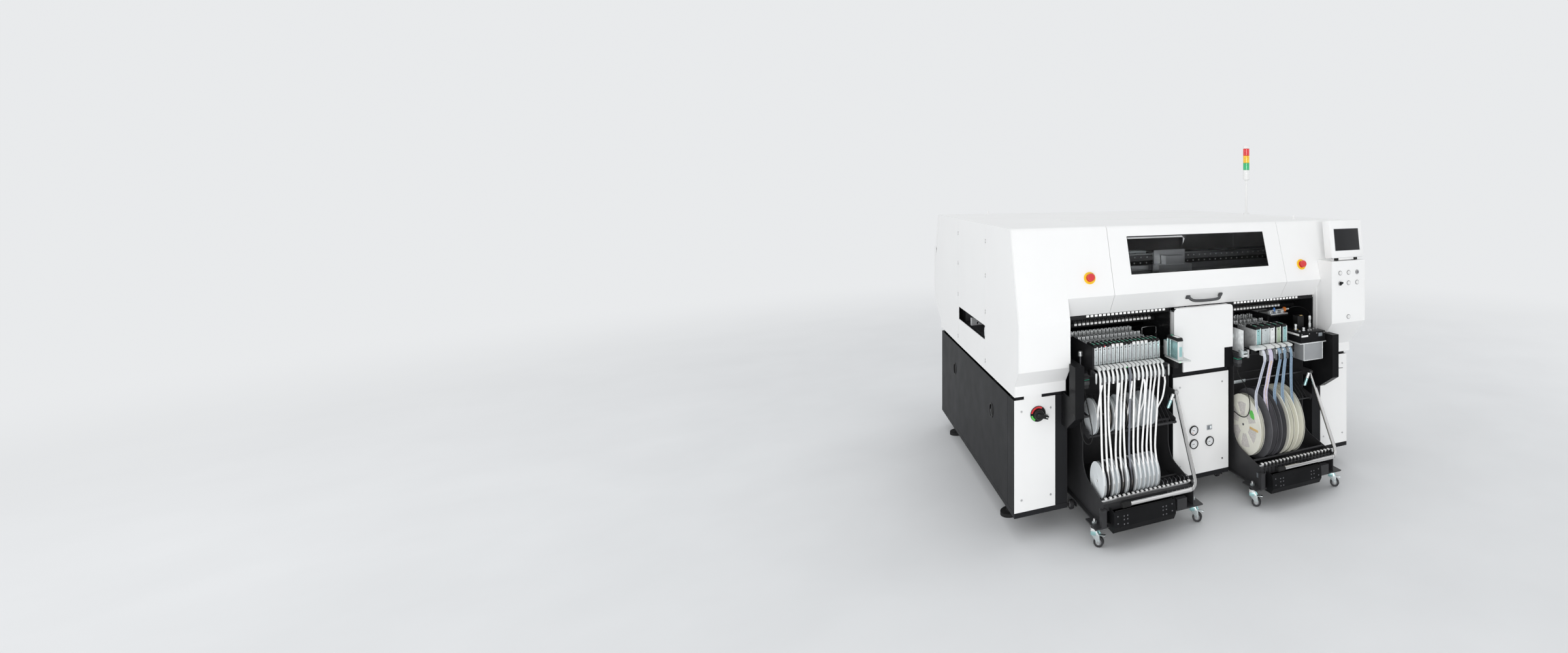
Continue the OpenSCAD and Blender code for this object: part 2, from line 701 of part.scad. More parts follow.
// Cap, stem and the collar that keeps it in the panel
module push_button(at) color(pale_zinc) centred() translate([at[0], -console_front, at[1]]) {
    rod_y(0, [-7, 14], 0, button_d / 2);
    rod_y(0, [sheet + 0.6, sheet + 4], 0, button_d / 2 + 3);
}
module button_upper_left() push_button([button_x[0], button_z[0]]);
module button_upper_mid() push_button([button_x[1], button_z[0]]);
module button_upper_right() push_button([button_x[2], button_z[0]]);
module button_lower_mid() push_button([button_x[1], button_z[1]]);
module button_lower_right() push_button([button_x[2], button_z[1]]);
module button_single() push_button(single_at);

module signal_tower() color(white_paint) centred() translate([tower_at[0] - 12, tower_at[1], 0]) {
    lens = (tower_top - 24 - 1830) / 3;
    rod_z(0, 0, [top_z, top_z + 10], 24);
    rod_z(0, 0, [top_z + 10, 1754], 8.5);
    rod_z(0, 0, [1754, 1830], tower_d / 2);
    for (i = [0:2]) rod_z(0, 0, [1830 + lens * i + 0.6, 1830 + lens * (i + 1)], tower_d / 2 - 1);
    for (i = [0:3]) rod_z(0, 0, [1830 + lens * i - 0.5, 1830 + lens * i + 1], tower_d / 2 - 4);
    rod_z(0, 0, [tower_top - 24, tower_top], tower_d / 2);
}

// Round head of a cover screw on a panel that faces -Y
module screw_head() rod_y(0, [-2.5, 0], 0, 5);

module cover_screws() color([0.6, 0.6, 0.6]) centred() {
    // Corners of the lower front panels
    for (x = [-1015, -868, -135, 135, 866, 1015], z = [188, 617]) translate([x, 0, z]) screw_head();
    // Pairs along the seams of the side covers
    for (side = [-1, 1], y = [slot_front - 14, slot_rear + 16], z = [740, 1010, 1210, 1400], dz = [0, 14])
        translate([side * hood_half, y, z + dz]) rotate([0, 0, side * 90]) screw_head();
}

// Feeder carts

// Two rods under a row of reels, on uprights from foot_z where that is given
module rest_rods(reel_at, radius, half_angle = 35, foot_z = 0) {
    rod_r = 6;
    clear = 0.43;
    reach = radius + rod_r + clear;
    for (side = [-1, 1]) {
        y = reel_at[0] + side * reach * sin(half_angle);
        z = reel_at[1] - reach * cos(half_angle);
        rod_x([-cart_half, cart_half], y, z, rod_r);
        if (foot_z > 0) mirrored_x() box([cart_half - 6, cart_half - 2], [y - 8, y + 8], [foot_z, z]);
    }
}

module cart_frame(left) {
    upright = [-5, table_z - 18];
    toe = [-270, 212];
    plate = concat([upright], fillet(upright, [upright[0], 272], toe, 100),
                   [toe, [toe[0], 104], [300, 104], [300, upright[1]]]);
    plate_in = cart_half - 2;
    mirrored_x() yz([plate_in, cart_half + 2], plate);
    // Floor with room for the waste box, back plate and feeder table
    difference() {
        union() {
            box([-292, 292], [-285, -160], [104, 110]);
            box([-266, 266], [-161, 300], [104, 110]);
        }
        box([waste_x[0] - 8, waste_x[1] + 8], [-300, 175], [100, 120]);
    }
    box([-cart_half, cart_half], [296, 300], [104, table_z - 10]);
    box([-258, 258], [-60, 330], [table_z - 18, table_z]);
    // Left end plate beside the feeders, cable connector and docking plunger
    box(left ? [-228, -223.5] : [-240, -234], [-95, 200], [table_z - 2, 912]);
    box([-262, -238], [-70, -30], [705, table_z - 17]);
    rod_z(-249, 20, [table_z - 1, 846], 7);
    rod_z(-249, 20, [846, 872], 11);
    // Caster stems, nuts and fixed upper races
    for (side = [-1, 1]) translate([side * caster_at[0], caster_at[1], 0]) {
        rod_z(0, 0, [74, 132], 6);
        translate([0, 0, 109]) cylinder(h = 11, r = 12, $fn = 6);
        rod_z(0, 0, [92, 105], 17);
    }
    // Brackets and axle of the rear wheels
    mirrored_x() box([209, 215], [rear_wheel_y - 20, rear_wheel_y + 20], [15, 105]);
    rod_x([-255, 255], rear_wheel_y, wheel_d / 2, 6);
    // Lower reel tray, its comb and the toothed front bar
    box([-cart_half, cart_half], [-245, 298], [172, 176]);
    box([-cart_half, 237], [-247, -235], [206, 220]);
    box([-cart_half, cart_half], [-262, -258], [172, 200]);
    box([-cart_half, cart_half], [-260, -236], [196, 207]);
    for (i = [0:19]) translate([lower_reel_x(i - 0.5), 0, 0]) box([-1, 1], [-236, -205], [174, 216]);
    // Stop blocks at the front corners
    box([-262, -236], [-290, -262], [108, 190]);
    box([141, 196], [-290, -262], [108, 163]);
    // Pairs of rods that the reels rest between
    if (left) {
        rest_rods(lower_reel_at, small_reel_d / 2);
        rest_rods(upper_reel_at, small_reel_d / 2, 20);
    } else rest_rods(large_reel_at, wide_reel_d / 2, foot_z = 174);
    // Upper reel rack of slanted rods
    rack_from = left ? -cart_half : 70;
    first_rod = left ? 0 : 14;
    rod_x([rack_from, cart_half], rack_low[0], rack_low[1], 4);
    rod_x([-cart_half, cart_half], rack_high[0], rack_high[1], 4);
    for (i = [first_rod:19]) translate([upper_reel_x(i + 0.5), 0, 0])
        bar([0, rack_low[0], rack_low[1]], [0, rack_high[0], rack_high[1]], 2);
    for (x = left ? [-cart_half, cart_half - 4] : [cart_half - 4])
        yz([x, x + 4], [[2, 512], [-88, 492], [-88, 474], [-80, 459], [-58, 459], [2, 472]]);
    // Pivot ear and pin of the pull handle, with its strut
    box([plate_in, 249], [-72, 2], [590, 634]);
    rod_x([247, 277], pivot_at[0], pivot_at[1], 5);
    bar([240, -70, 614], [209, -68, 543], 8);
    bar([209, -68, 545], [244, 0, 528], 5);
    // Anchor of the far end of the cable
    if (left) {
        box([-290, -282], [-86, -74], [560, 576]);
        box([-284, -cart_half], [-84, -76], [566, 576]);
        box([-cart_half - 2, 2 - cart_half], [-84, 2], [566, 576]);
    } else box([2 - cart_half, -231], [50, 62], [428, 446]);
}
module cart_left() color(black_plastic) centred() translate([-cart_x, 0, 0]) cart_frame(true);
module cart_right() color(black_plastic) centred() translate([cart_x, 0, 0]) cart_frame(false);

// One tape feeder: body, raised top bar, two drive blocks behind it, tape ledge and curved chute
module feeder(x, width) translate([x, 0, 0])
    yz([-width / 2, width / 2], [[-100, 823], [-100, 914], [-94, 922], [-6, 922], [4, 908], [118, 908],
                                 [122, 920], [140, 920], [144, 910], [226, 910], [230, 925], [268, 925],
                                 [272, 912], [290, 912], [315, 900], [315, table_z + 0.5],
                                 [-40, table_z + 0.5], [-40, 806], [-122, 806], [-122, 796], [-142, 788],
                                 [-160, 766], [-162, 742], [-172, 742], [-174, 770], [-152, 806],
                                 [-152, 818]]);

module feeders_left() color(zinc) centred() translate([-cart_x, 0, 0])
    for (i = [0:feeder_count - 1]) feeder(slot_x(i), slot_pitch - 2.5);

module drawn_feeder() color(zinc) centred() translate([-cart_x, 0, 0]) {
    x = [182, 214];
    yz(x, [[-225, 826], [-225, 926], [-214, 940], [-110, 940], [-104, 928], [-104, 908], [-65, 908],
           [-65, 860], [190, 860], [190, 786], [-60, 786], [-60, 826]]);
    box([x[0], 252], [-236, -80], [818, 826.5]);
    box([x[0] + 4, x[1] - 4], [-180, 185], [table_z + 0.5, 826]);
}

module feeders_right() color(zinc) centred() translate([cart_x, 0, 0]) {
    for (f = wide_feeders) feeder(f[0], f[1]);
    // Boxed feeder unit on its flange, with a motor box below and its fittings on top
    box([114, 296], [-150, 10], [812, 872]);
    box([108, 300], [-152, 0], [806, 812.5]);
    box([136, 277], [-150, -62], [710, 806.5]);
    box([100, 290], [-40, 250], [table_z + 0.5, 840]);
    box([198, 245], [-20, 28], [839, 945]);
    for (p = [[150, -60, 905], [176, -100, 890], [283, -25, 938]]) rod_z(p[0], p[1], [871, p[2]], 9);
    box([70, 200], [70, 200], [932, 948]);
    box([104, 124], [150, 188], [839, 933]);
}

// Reel with two flanges, wound tape and a bored hub, along X from x
module reel(x, width, radius, wound) translate([x, 0, 0]) rotate([0, 90, 0]) difference() {
    union() {
        cylinder(h = 1.6, r = radius);
        translate([0, 0, width - 1.6]) cylinder(h = 1.6, r = radius);
        translate([0, 0, 1]) cylinder(h = width - 2, r = wound);
    }
    translate([0, 0, -1]) cylinder(h = width + 2, r = 6.5);
}

module small_reel(x) reel(x - small_reel_w / 2, small_reel_w, small_reel_d / 2, small_wound);

module reels_left_lower() color(cream) centred() translate([-cart_x, lower_reel_at[0], lower_reel_at[1]])
    for (i = [0:lower_reels - 1]) small_reel(lower_reel_x(i));

module reels_left_upper() color(cream) centred() translate([-cart_x, upper_reel_at[0], upper_reel_at[1]])
    for (i = upper_reel_slots) small_reel(upper_reel_x(i));

module reels_right() color(cream) centred() translate([cart_x, large_reel_at[0], large_reel_at[1]]) {
    for (i = [0:4]) {
        radius = (i == 0 ? large_reel_d : wide_reel_d) / 2;
        reel(large_reels[i][0], large_reels[i][1], radius, large_wound);
    }
    // Loose spindle through all five
    rod_x([-231, 53], 0, 0, 6.2);
}

// Tape that hangs from a chute at x, or a little behind its tip, to the front of a reel at reel_x
module hanging_tape(x, reel_x, reel_at, wound, width, behind = 0, in_line = 0.7) {
    from = chute_tip + [behind, 0];
    to = [reel_at[0] - wound - tape_gap, reel_at[1] + 2];
    route = [for (t = [0, 0.06, 0.2, in_line * 0.64, in_line, 0.85, 1])
        [x + (reel_x - x) * min(1, t / in_line), from[0] + (to[0] - from[0]) * t * t,
         from[1] + (to[1] - from[1]) * t]];
    ribbon(route, width, -0.8);
}

module tapes_left() color([0.93, 0.93, 0.92]) centred() translate([-cart_x, 0, 0]) {
    beside_clip = -4.6;
    behind_clip = 5.2;
    for (i = [0:lower_reels - 1])
        hanging_tape(slot_x(lower_tape_slots[i]) + beside_clip, lower_reel_x(i), lower_reel_at, small_wound,
                     tape_w);
    for (i = [0:4])
        hanging_tape(slot_x(upper_tape_slots[i]) + behind_clip, upper_reel_x(upper_reel_slots[2 * i]),
                     upper_reel_at, small_wound, tape_w, 2.5);
}

module tapes_right() color([0.70, 0.75, 0.85]) centred() translate([cart_x, 0, 0])
    for (i = [0:4]) {
        reel_mid = large_reels[i][0] + large_reels[i][1] / 2;
        hanging_tape(wide_tapes[i][0], reel_mid, large_reel_at, large_wound, wide_tapes[i][1], 0, 0.5);
    }

// Pull handle: bored eye, straight arm, bend, cross tube and rubber cap
module pull_handle() translate([0, pivot_at[0], pivot_at[1]]) rotate([-handle_lean, 0, 0]) {
    r = handle_d / 2;
    difference() {
        rod_x([handle_x - 10, handle_x + 10], 0, 0, 14);
        rod_x([handle_x - 15, handle_x + 15], 0, 0, 5 + running_gap);
    }
    // The arm leans towards the middle of the cart and runs straight into the bend
    middle = [handle_low_x - handle_bend, handle_bend - handle_arm];
    away = [handle_x, 0] - middle;
    lean_in = atan2(away[0], away[1]) - asin(handle_bend / norm(away));
    arm_end = middle + handle_bend * [cos(lean_in), -sin(lean_in)];
    arm_top = 11;
    bar([handle_x - arm_top * tan(lean_in), 0, -arm_top], [arm_end[0], 0, arm_end[1]], r);
    translate([middle[0], 0, middle[1]]) rotate([90, 0, 0])
        rotate([0, 0, -90]) rotate_extrude(angle = 90 - lean_in) translate([handle_bend, 0]) circle(r);
    rod_x([handle_end + 45, middle[0]], 0, -handle_arm, r);
    rod_x([handle_end, handle_end + 46], 0, -handle_arm, r + 2.5);
}
module handle_left() color([0.75, 0.75, 0.77]) centred() translate([-cart_x, 0, 0]) pull_handle();
module handle_right() color([0.75, 0.75, 0.77]) centred() translate([cart_x, 0, 0]) pull_handle();

// Open box that collects cut tape, with a taller front and flanges that hang on the cart's floor
module waste_box() {
    wall = 3;
    flange = 13;
    outer = [[-312, 190], [-326, 176], [-330, 118], [-312, 87], [150, 87], [150, 165], [-268, 165],
             [-268, 190]];
    inner = [[-309, 200], [-322, 174], [-326, 119], [-310, 90], [147, 90], [147, 200]];
    difference() {
        yz(waste_x, outer);
        yz([waste_x[0] + wall, waste_x[1] - wall], inner);
    }
    for (x = [[waste_x[0] - flange, waste_x[0] + 1], [waste_x[1] - 1, waste_x[1] + flange]])
        box(x, [-250, 150], [110.3, 113]);
}
module waste_box_left() color(black_plastic) centred() translate([-cart_x, 0, 0]) waste_box();
module waste_box_right() color(black_plastic) centred() translate([cart_x, 0, 0]) waste_box();

// Caster number 1 to 4 from left to right
function caster_place(n) = let (cart = n < 3 ? -cart_x : cart_x, side = n % 2 == 1 ? -1 : 1)
    [cart + side * caster_at[0], caster_at[1]];
caster_turn = atan2(caster_trail[1], caster_trail[0]);
trail = norm(caster_trail);

module caster_frame(n) {
    at = caster_place(n);
    centred() translate([at[0], at[1], 0]) rotate([0, 0, caster_turn]) children();
}

module caster_fork(n) color(zinc) caster_frame(n) {
    cheek = [11, 14];
    axle_z = wheel_d / 2;
    difference() {
        union() {
            rod_z(0, 0, [80, 91.5], 18);
            box([-14, 14], [-cheek[1], cheek[1]], [78, 82]);
        }
        rod_z(0, 0, [70, 93], 6 + running_gap);
    }
    for (side = [-1, 1]) {
        y = side < 0 ? [-cheek[1], -cheek[0]] : cheek;
        translate([0, y[1], 0]) rotate([90, 0, 0]) linear_extrude(y[1] - y[0])
            polygon([[-12, 82], [13, 82], [trail + 10, axle_z + 6], [trail + 6, axle_z - 10],
                     [trail - 8, axle_z - 10], [trail - 12, axle_z + 8]]);
    }
    rod_y(trail, [-cheek[1], cheek[1]], axle_z, 4);
    // Brake lever
    box([trail + 4, trail + 34], [-9, 9], [56, 60]);
    box([6, trail + 6], [-cheek[1], cheek[1]], [56, 60]);
}
module caster_fork_1() caster_fork(1);
module caster_fork_2() caster_fork(2);
module caster_fork_3() caster_fork(3);
module caster_fork_4() caster_fork(4);

module caster_wheel(n) color(black_plastic) caster_frame(n) difference() {
    rod_y(trail, [-9, 9], wheel_d / 2, wheel_d / 2);
    rod_y(trail, [-10, 10], wheel_d / 2, 4 + running_gap);
}
module caster_wheel_1() caster_wheel(1);
module caster_wheel_2() caster_wheel(2);
module caster_wheel_3() caster_wheel(3);
module caster_wheel_4() caster_wheel(4);

module rear_wheels() difference() {
    for (x = [[-245, -225], [225, 245]]) rod_x(x, rear_wheel_y, wheel_d / 2, wheel_d / 2);
    rod_x([-260, 260], rear_wheel_y, wheel_d / 2, 6 + running_gap);
}
module rear_wheels_left() color(black_plastic) centred() translate([-cart_x, 0, 0]) rear_wheels();
module rear_wheels_right() color(black_plastic) centred() translate([cart_x, 0, 0]) rear_wheels();

module cable_left() color(black_plastic) centred() translate([-cart_x, 0, 0]) cable(left_route, cable_d);
module cable_right() color(black_plastic) centred() translate([cart_x, 0, 0]) cable(right_route, cable_d);

base_frame();
side_panels();
front_panels();
levelling_feet();
side_covers();
corner_covers();
top_cover();
rear_cover();
bay_guards();
gantry_bed();
conveyor_fixed_rail();
operator_console();
panel_fittings();
signal_tower();
cover_screws();
control_unit();
front_door();
door_window();
door_handle();
x_beam();
placement_head();
nozzle_row();
conveyor_moving_rail();
touch_panel();
estop_left();
estop_right();
main_switch_knob();
selector_knob();
button_upper_left();
button_upper_mid();
button_upper_right();
button_lower_mid();
button_lower_right();
button_single();
cart_left();
cart_right();
feeders_left();
feeders_right();
drawn_feeder();
reels_left_lower();
reels_left_upper();
reels_right();
tapes_left();
tapes_right();
handle_left();
handle_right();
waste_box_left();
waste_box_right();
caster_fork_1();
caster_fork_2();
caster_fork_3();
caster_fork_4();
caster_wheel_1();
caster_wheel_2();
caster_wheel_3();
caster_wheel_4();
rear_wheels_left();
rear_wheels_right();
cable_left();
cable_right();
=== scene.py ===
"""Looks of a pick and place machine with two feeder carts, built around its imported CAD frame.

Places are in millimetres as on the machine: X to the operator's right from its middle, Y back from the
lower front panels, Z up from the floor. at() turns them into metres in the frame.
"""
from math import asin, atan2, cos, hypot, pi, radians, sin, tan

import bmesh
import bpy
from mathutils import Matrix, Vector


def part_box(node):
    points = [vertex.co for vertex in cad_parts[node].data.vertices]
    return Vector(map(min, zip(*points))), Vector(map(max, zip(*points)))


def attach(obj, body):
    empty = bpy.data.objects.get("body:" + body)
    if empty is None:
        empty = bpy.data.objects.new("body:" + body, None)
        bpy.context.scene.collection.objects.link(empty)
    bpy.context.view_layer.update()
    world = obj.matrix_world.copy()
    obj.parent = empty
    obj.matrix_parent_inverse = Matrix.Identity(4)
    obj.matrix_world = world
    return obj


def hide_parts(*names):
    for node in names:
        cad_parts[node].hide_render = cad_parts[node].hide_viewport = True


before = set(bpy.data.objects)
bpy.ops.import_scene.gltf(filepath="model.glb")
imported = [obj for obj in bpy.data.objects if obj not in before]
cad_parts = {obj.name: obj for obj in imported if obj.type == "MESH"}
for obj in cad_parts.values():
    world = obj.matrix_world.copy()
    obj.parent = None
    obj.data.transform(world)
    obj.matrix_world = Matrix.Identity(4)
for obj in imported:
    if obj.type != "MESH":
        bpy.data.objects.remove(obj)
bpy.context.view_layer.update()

MM = 0.001
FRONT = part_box("base_frame")[0].y
CARTS = {side: sum(c.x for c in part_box("rear_wheels_" + side)) / 2 / MM for side in ("left", "right")}
TOP = 1500
SLANT_LOW = (-56, 1155)
SLANT_HIGH = (54, 1500)
SLANT = atan2(SLANT_HIGH[0] - SLANT_LOW[0], SLANT_HIGH[1] - SLANT_LOW[1])
BEVEL_LOW = (10, 1055)
CONSOLE_FRONT = -150


def at(x, y, z):
    """Place on the machine as metres in the frame."""
    return Vector((x * MM, FRONT + y * MM, z * MM))


def new_object(name, data):
    """Object of the given data, linked into the scene."""
    made = bpy.data.objects.new(name, data)
    bpy.context.scene.collection.objects.link(made)
    return made


# Materials

def shader(name):
    """New material with its node tree and principled shader."""
    material = bpy.data.materials.new(name)
    material.use_nodes = True
    tree = material.node_tree
    return material, tree, tree.nodes["Principled BSDF"]


def put(node, **values):
    """Set inputs of a node, with _ for a space in an input's name."""
    for name, value in values.items():
        node.inputs[name.replace("_", " ")].default_value = value


def new_node(tree, kind, **values):
    """New shader node with the given inputs set."""
    node = tree.nodes.new("ShaderNode" + kind)
    put(node, **values)
    return node


def noise_of(tree, scale, stretch=(1, 1, 1), turn=None):
    """Noise over the piece's own coordinates, turned and stretched where a finish has a direction."""
    link = tree.links.new
    where = new_node(tree, "TexCoord").outputs["Object"]
    if turn:
        turned = new_node(tree, "VectorRotate")
        turned.rotation_type = "EULER_XYZ"
        put(turned, Rotation=turn)
        link(where, turned.inputs["Vector"])
        where = turned.outputs["Vector"]
    mapping = new_node(tree, "Mapping", Scale=stretch)
    noise = new_node(tree, "TexNoise", Scale=scale, Detail=3)
    link(where, mapping.inputs["Vector"])
    link(mapping.outputs["Vector"], noise.inputs["Vector"])
    return noise.outputs["Fac"]


def ramp_of(tree, factor, low, high):
    """Colour between low and high as factor runs over the middle of its range."""
    ramp = new_node(tree, "ValToRGB")
    for element, place, colour in zip(ramp.color_ramp.elements, (0.3, 0.7), (low, high)):
        element.position = place
        element.color = (*colour, 1)
    tree.links.new(factor, ramp.inputs["Fac"])
    return ramp.outputs["Color"]


RELIEF = 0.0004


def finish(name, colour, rough=0.45, metal=0.0, vary=0.08, vary_scale=9, grain=0.12, grain_scale=900,
           stretch=(1, 1, 1), spread=0.07, coat=0.0, glow=0.0, specular=0.5, turn=None):
    """Surface whose colour, gloss and relief all vary a little, at the scale of the real finish."""
    material, tree, bsdf = shader(name)
    link = tree.links.new
    low = [c * (1 - vary) for c in colour]
    high = [min(1, c * (1 + vary)) for c in colour]
    link(ramp_of(tree, noise_of(tree, vary_scale, stretch, turn), low, high), bsdf.inputs["Base Color"])
    gloss = new_node(tree, "MapRange", To_Min=max(0.02, rough - spread), To_Max=min(1, rough + spread))
    link(noise_of(tree, vary_scale * 3.1, stretch), gloss.inputs["Value"])
    link(gloss.outputs["Result"], bsdf.inputs["Roughness"])
    bump = new_node(tree, "Bump", Strength=grain, Distance=RELIEF)
    link(noise_of(tree, grain_scale, stretch), bump.inputs["Height"])
    link(bump.outputs["Normal"], bsdf.inputs["Normal"])
    put(bsdf, Metallic=metal, Specular_IOR_Level=specular, Coat_Weight=coat)
    if glow:
        put(bsdf, Emission_Color=(*colour, 1), Emission_Strength=glow)
    return material


def spangled(name, colour, rough=0.34):
    """Zinc plate: crystals a few millimetres wide that differ in tone and gloss."""
    material = finish(name, colour, rough, 0.85, vary=0.1, vary_scale=14, grain=0.06)
    tree = material.node_tree
    link = tree.links.new
    cells = new_node(tree, "TexVoronoi", Scale=160)
    gloss = new_node(tree, "MapRange", To_Min=rough - 0.1, To_Max=rough + 0.12)
    link(new_node(tree, "TexCoord").outputs["Object"], cells.inputs["Vector"])
    link(cells.outputs["Color"], gloss.inputs["Value"])
    link(gloss.outputs["Result"], tree.nodes["Principled BSDF"].inputs["Roughness"])
    return material


def tinted(name, colour, rough=0.03):
    """Clear tinted sheet with faint polishing marks."""
    material = finish(name, colour, rough, vary=0.1, vary_scale=4, grain=0.02, grain_scale=300, spread=0.02)
    put(material.node_tree.nodes["Principled BSDF"], Transmission_Weight=1.0, IOR=1.12)
    return material


BRUSHED_X = (0.04, 1, 1)
WHITE = finish("white_powder_coat", (0.87, 0.87, 0.865), 0.42, vary=0.012, vary_scale=2.5, grain=0.1,
               grain_scale=700, coat=0.05)
WHITE_PLASTIC = finish("white_moulding", (0.82, 0.82, 0.81), 0.38, vary=0.02, grain=0.08, grain_scale=1500)
CHARCOAL = finish("charcoal_powder_coat", (0.017, 0.0175, 0.019), 0.5, vary=0.18, vary_scale=3, grain=0.18,
                  grain_scale=1100, specular=0.1)
# Cart frames are black powder coat, made lighter than BLACK: a painted sheen that stands in for the light
# their side plates reflect.
CART_PAINT_WITH_PAINTED_SHEEN = finish("cart_powder_coat_painted_sheen", (0.035, 0.035, 0.037), 0.45, vary=0.16, vary_scale=5, grain=0.2,
                    grain_scale=1200, specular=0.25)
BLACK = finish("black_powder_coat", (0.013, 0.013, 0.0135), 0.42, vary=0.2, vary_scale=5, grain=0.2,
               grain_scale=1300, specular=0.18)
SATIN_BLACK = finish("satin_black_sheet", (0.011, 0.0112, 0.012), 0.3, vary=0.15, grain=0.06, specular=0.05)
BLACK_PLASTIC = finish("black_moulding", (0.011, 0.011, 0.011), 0.45, vary=0.15, grain=0.2,
                       grain_scale=1800, specular=0.25)
RUBBER = finish("black_rubber", (0.014, 0.014, 0.014), 0.78, vary=0.2, vary_scale=30, grain=0.35,
                grain_scale=1200, specular=0.25)
TYRE = finish("grey_tyre", (0.035, 0.035, 0.037), 0.62, vary=0.2, vary_scale=40, grain=0.3, specular=0.3)
ZINC = spangled("zinc_plate", (0.6, 0.65, 0.655))
PALE_ZINC = spangled("pale_zinc_plate", (0.76, 0.78, 0.77), 0.4)
BRIGHT_ZINC = finish("bright_zinc", (0.8, 0.82, 0.82), 0.38, 0.45, vary=0.12, vary_scale=60, grain=0.06)
TEAL_ZINC = finish("blue_passivated_zinc", (0.36, 0.6, 0.6), 0.3, 0.7, vary=0.3, vary_scale=9, grain=0.05)
GREEN_ZINC = finish("green_passivated_zinc", (0.48, 0.58, 0.44), 0.32, 0.7, vary=0.22, vary_scale=12,
                    grain=0.05)
STEEL = finish("brushed_steel", (0.58, 0.58, 0.58), 0.33, 1.0, vary=0.1, stretch=BRUSHED_X, vary_scale=120,
               grain=0.1)
DARK_STEEL = finish("dark_steel", (0.16, 0.16, 0.17), 0.35, 0.9, vary=0.15, vary_scale=60, grain=0.08)
# Streaks run along the tube: X on the handle's cross bar, and the axis of the leaning arm
POLISHED = {"colour": (0.6, 0.595, 0.59), "rough": 0.1, "metal": 1.0, "vary": 0.5, "vary_scale": 110,
            "grain": 0.03, "spread": 0.05}
ARM_AXIS = Vector((-0.0412, -0.5295, -0.8473))
CHROME = finish("bright_chrome", stretch=(0.01, 1, 1), **POLISHED)
CHROME_ARM = finish("bright_chrome_arm", stretch=(1, 1, 0.01),
                    turn=ARM_AXIS.rotation_difference(Vector((0, 0, 1))).to_euler(), **POLISHED)
ALUMINIUM = finish("clear_anodised", (0.66, 0.67, 0.68), 0.36, 0.95, vary=0.06, stretch=BRUSHED_X,
                   vary_scale=90, grain=0.08)
CASTING = finish("painted_casting", (0.05, 0.05, 0.055), 0.55, vary=0.2, vary_scale=12, grain=0.35,
                 grain_scale=400)
BEAM_GREY = finish("beam_enamel", (0.2, 0.2, 0.21), 0.45, vary=0.12, grain=0.15)
PAPER = finish("paper_tape", (0.9, 0.9, 0.89), 0.7, vary=0.05, vary_scale=60, grain=0.2, grain_scale=2500)
FILM = finish("embossed_tape", (0.2, 0.3, 0.4), 0.28, vary=0.12, vary_scale=70, grain=0.05, coat=0.3)
CLEAR_FILM = {"rough": 0.3, "vary": 0.1, "vary_scale": 70, "grain": 0.05, "coat": 0.3}
PALE_FILM = finish("pale_embossed_tape", (0.6, 0.62, 0.68), **CLEAR_FILM)
VIOLET_FILM = finish("violet_embossed_tape", (0.56, 0.52, 0.66), **CLEAR_FILM)
REEL_WHITE = finish("reel_bluish_white", (0.84, 0.88, 0.9), 0.35, vary=0.06, vary_scale=14, grain=0.05)
REEL_CREAM = finish("reel_cream", (0.86, 0.85, 0.75), 0.4, vary=0.05, vary_scale=12, grain=0.05)
REEL_DARK = finish("reel_dark", (0.035, 0.035, 0.038), 0.35, vary=0.2, vary_scale=20, grain=0.05)
WOUND = finish("wound_paper", (0.62, 0.58, 0.53), 0.7, vary=0.12, vary_scale=200, grain=0.4,
               stretch=(8, 1, 1))
RED = finish("red_moulding", (0.66, 0.03, 0.035), 0.3, vary=0.08, grain=0.05, coat=0.3)
YELLOW = finish("yellow_moulding", (0.9, 0.58, 0.02), 0.38, vary=0.05, grain=0.06)
ORANGE = finish("orange_moulding", (0.75, 0.2, 0.03), 0.4, vary=0.08, grain=0.06)
BLUE = finish("blue_moulding", (0.05, 0.2, 0.55), 0.4, vary=0.08, grain=0.06)
GREEN = finish("green_moulding", (0.02, 0.42, 0.24), 0.4, vary=0.1, grain=0.06)
LENS = {"rough": 0.22, "vary": 0.1, "vary_scale": 40, "grain": 0.05, "coat": 0.5}
LENS_RED = finish("red_lens", (0.72, 0.03, 0.03), **LENS)
LENS_YELLOW = finish("yellow_lens", (0.92, 0.55, 0.02), **LENS)
LENS_GREEN = finish("green_lens", (0.02, 0.45, 0.16), **LENS)
LAMP_RED = finish("red_indicator", (0.9, 0.03, 0.05), 0.3, vary=0.05, glow=1.0)
LAMP_GREEN = finish("green_indicator", (0.05, 0.8, 0.2), 0.3, vary=0.05, glow=1.0)
LEDGE_GREY = finish("light_grey_moulding", (0.5, 0.51, 0.52), 0.4, vary=0.06, grain=0.06)
PALE_LEDGE = finish("pale_grey_enamel", (0.62, 0.64, 0.63), 0.36, vary=0.06, grain=0.06)
DARK_PLASTIC = finish("dark_grey_moulding", (0.06, 0.062, 0.065), 0.45, vary=0.15, grain=0.15)
UNIT_GREY = finish("grey_enamel", (0.3, 0.31, 0.32), 0.42, vary=0.08, grain=0.1)
HUB_GREY = finish("hub_moulding", (0.22, 0.22, 0.23), 0.5, vary=0.1, grain=0.1)
REEL_GREY = finish("reel_grey", (0.12, 0.12, 0.13), 0.38, vary=0.12, vary_scale=14, grain=0.05)
POCKET = finish("tape_pocket", (0.2, 0.23, 0.34), 0.35, vary=0.15, vary_scale=90, grain=0.05)
GOLD = finish("gilt_contact", (0.75, 0.55, 0.25), 0.3, 0.6, vary=0.15, vary_scale=90, grain=0.05)
DIAL = finish("dial_face", (0.8, 0.81, 0.82), 0.4, vary=0.03, vary_scale=60, grain=0.03, coat=0.6)
SCREEN = finish("display_glass", (0.014, 0.0145, 0.016), 0.2, vary=0.2, vary_scale=8, grain=0.01,
                specular=0.3)
LCD = finish("grey_display", (0.2, 0.22, 0.24), 0.3, vary=0.1, vary_scale=80, grain=0.02, coat=0.3)
# Slot tiles glow faintly: painted light that lifts the tiles sitting in the shade under the folded lips.
TILE_PAINTED_GLOW = finish("white_slot_tile_painted_glow", (0.86, 0.86, 0.85), 0.4, vary=0.03, vary_scale=50, grain=0.05, glow=0.25)
PERFORATION = finish("perforation_shadow", (0.002, 0.002, 0.002), 0.8, vary=0.3, vary_scale=60,
                     specular=0.05)
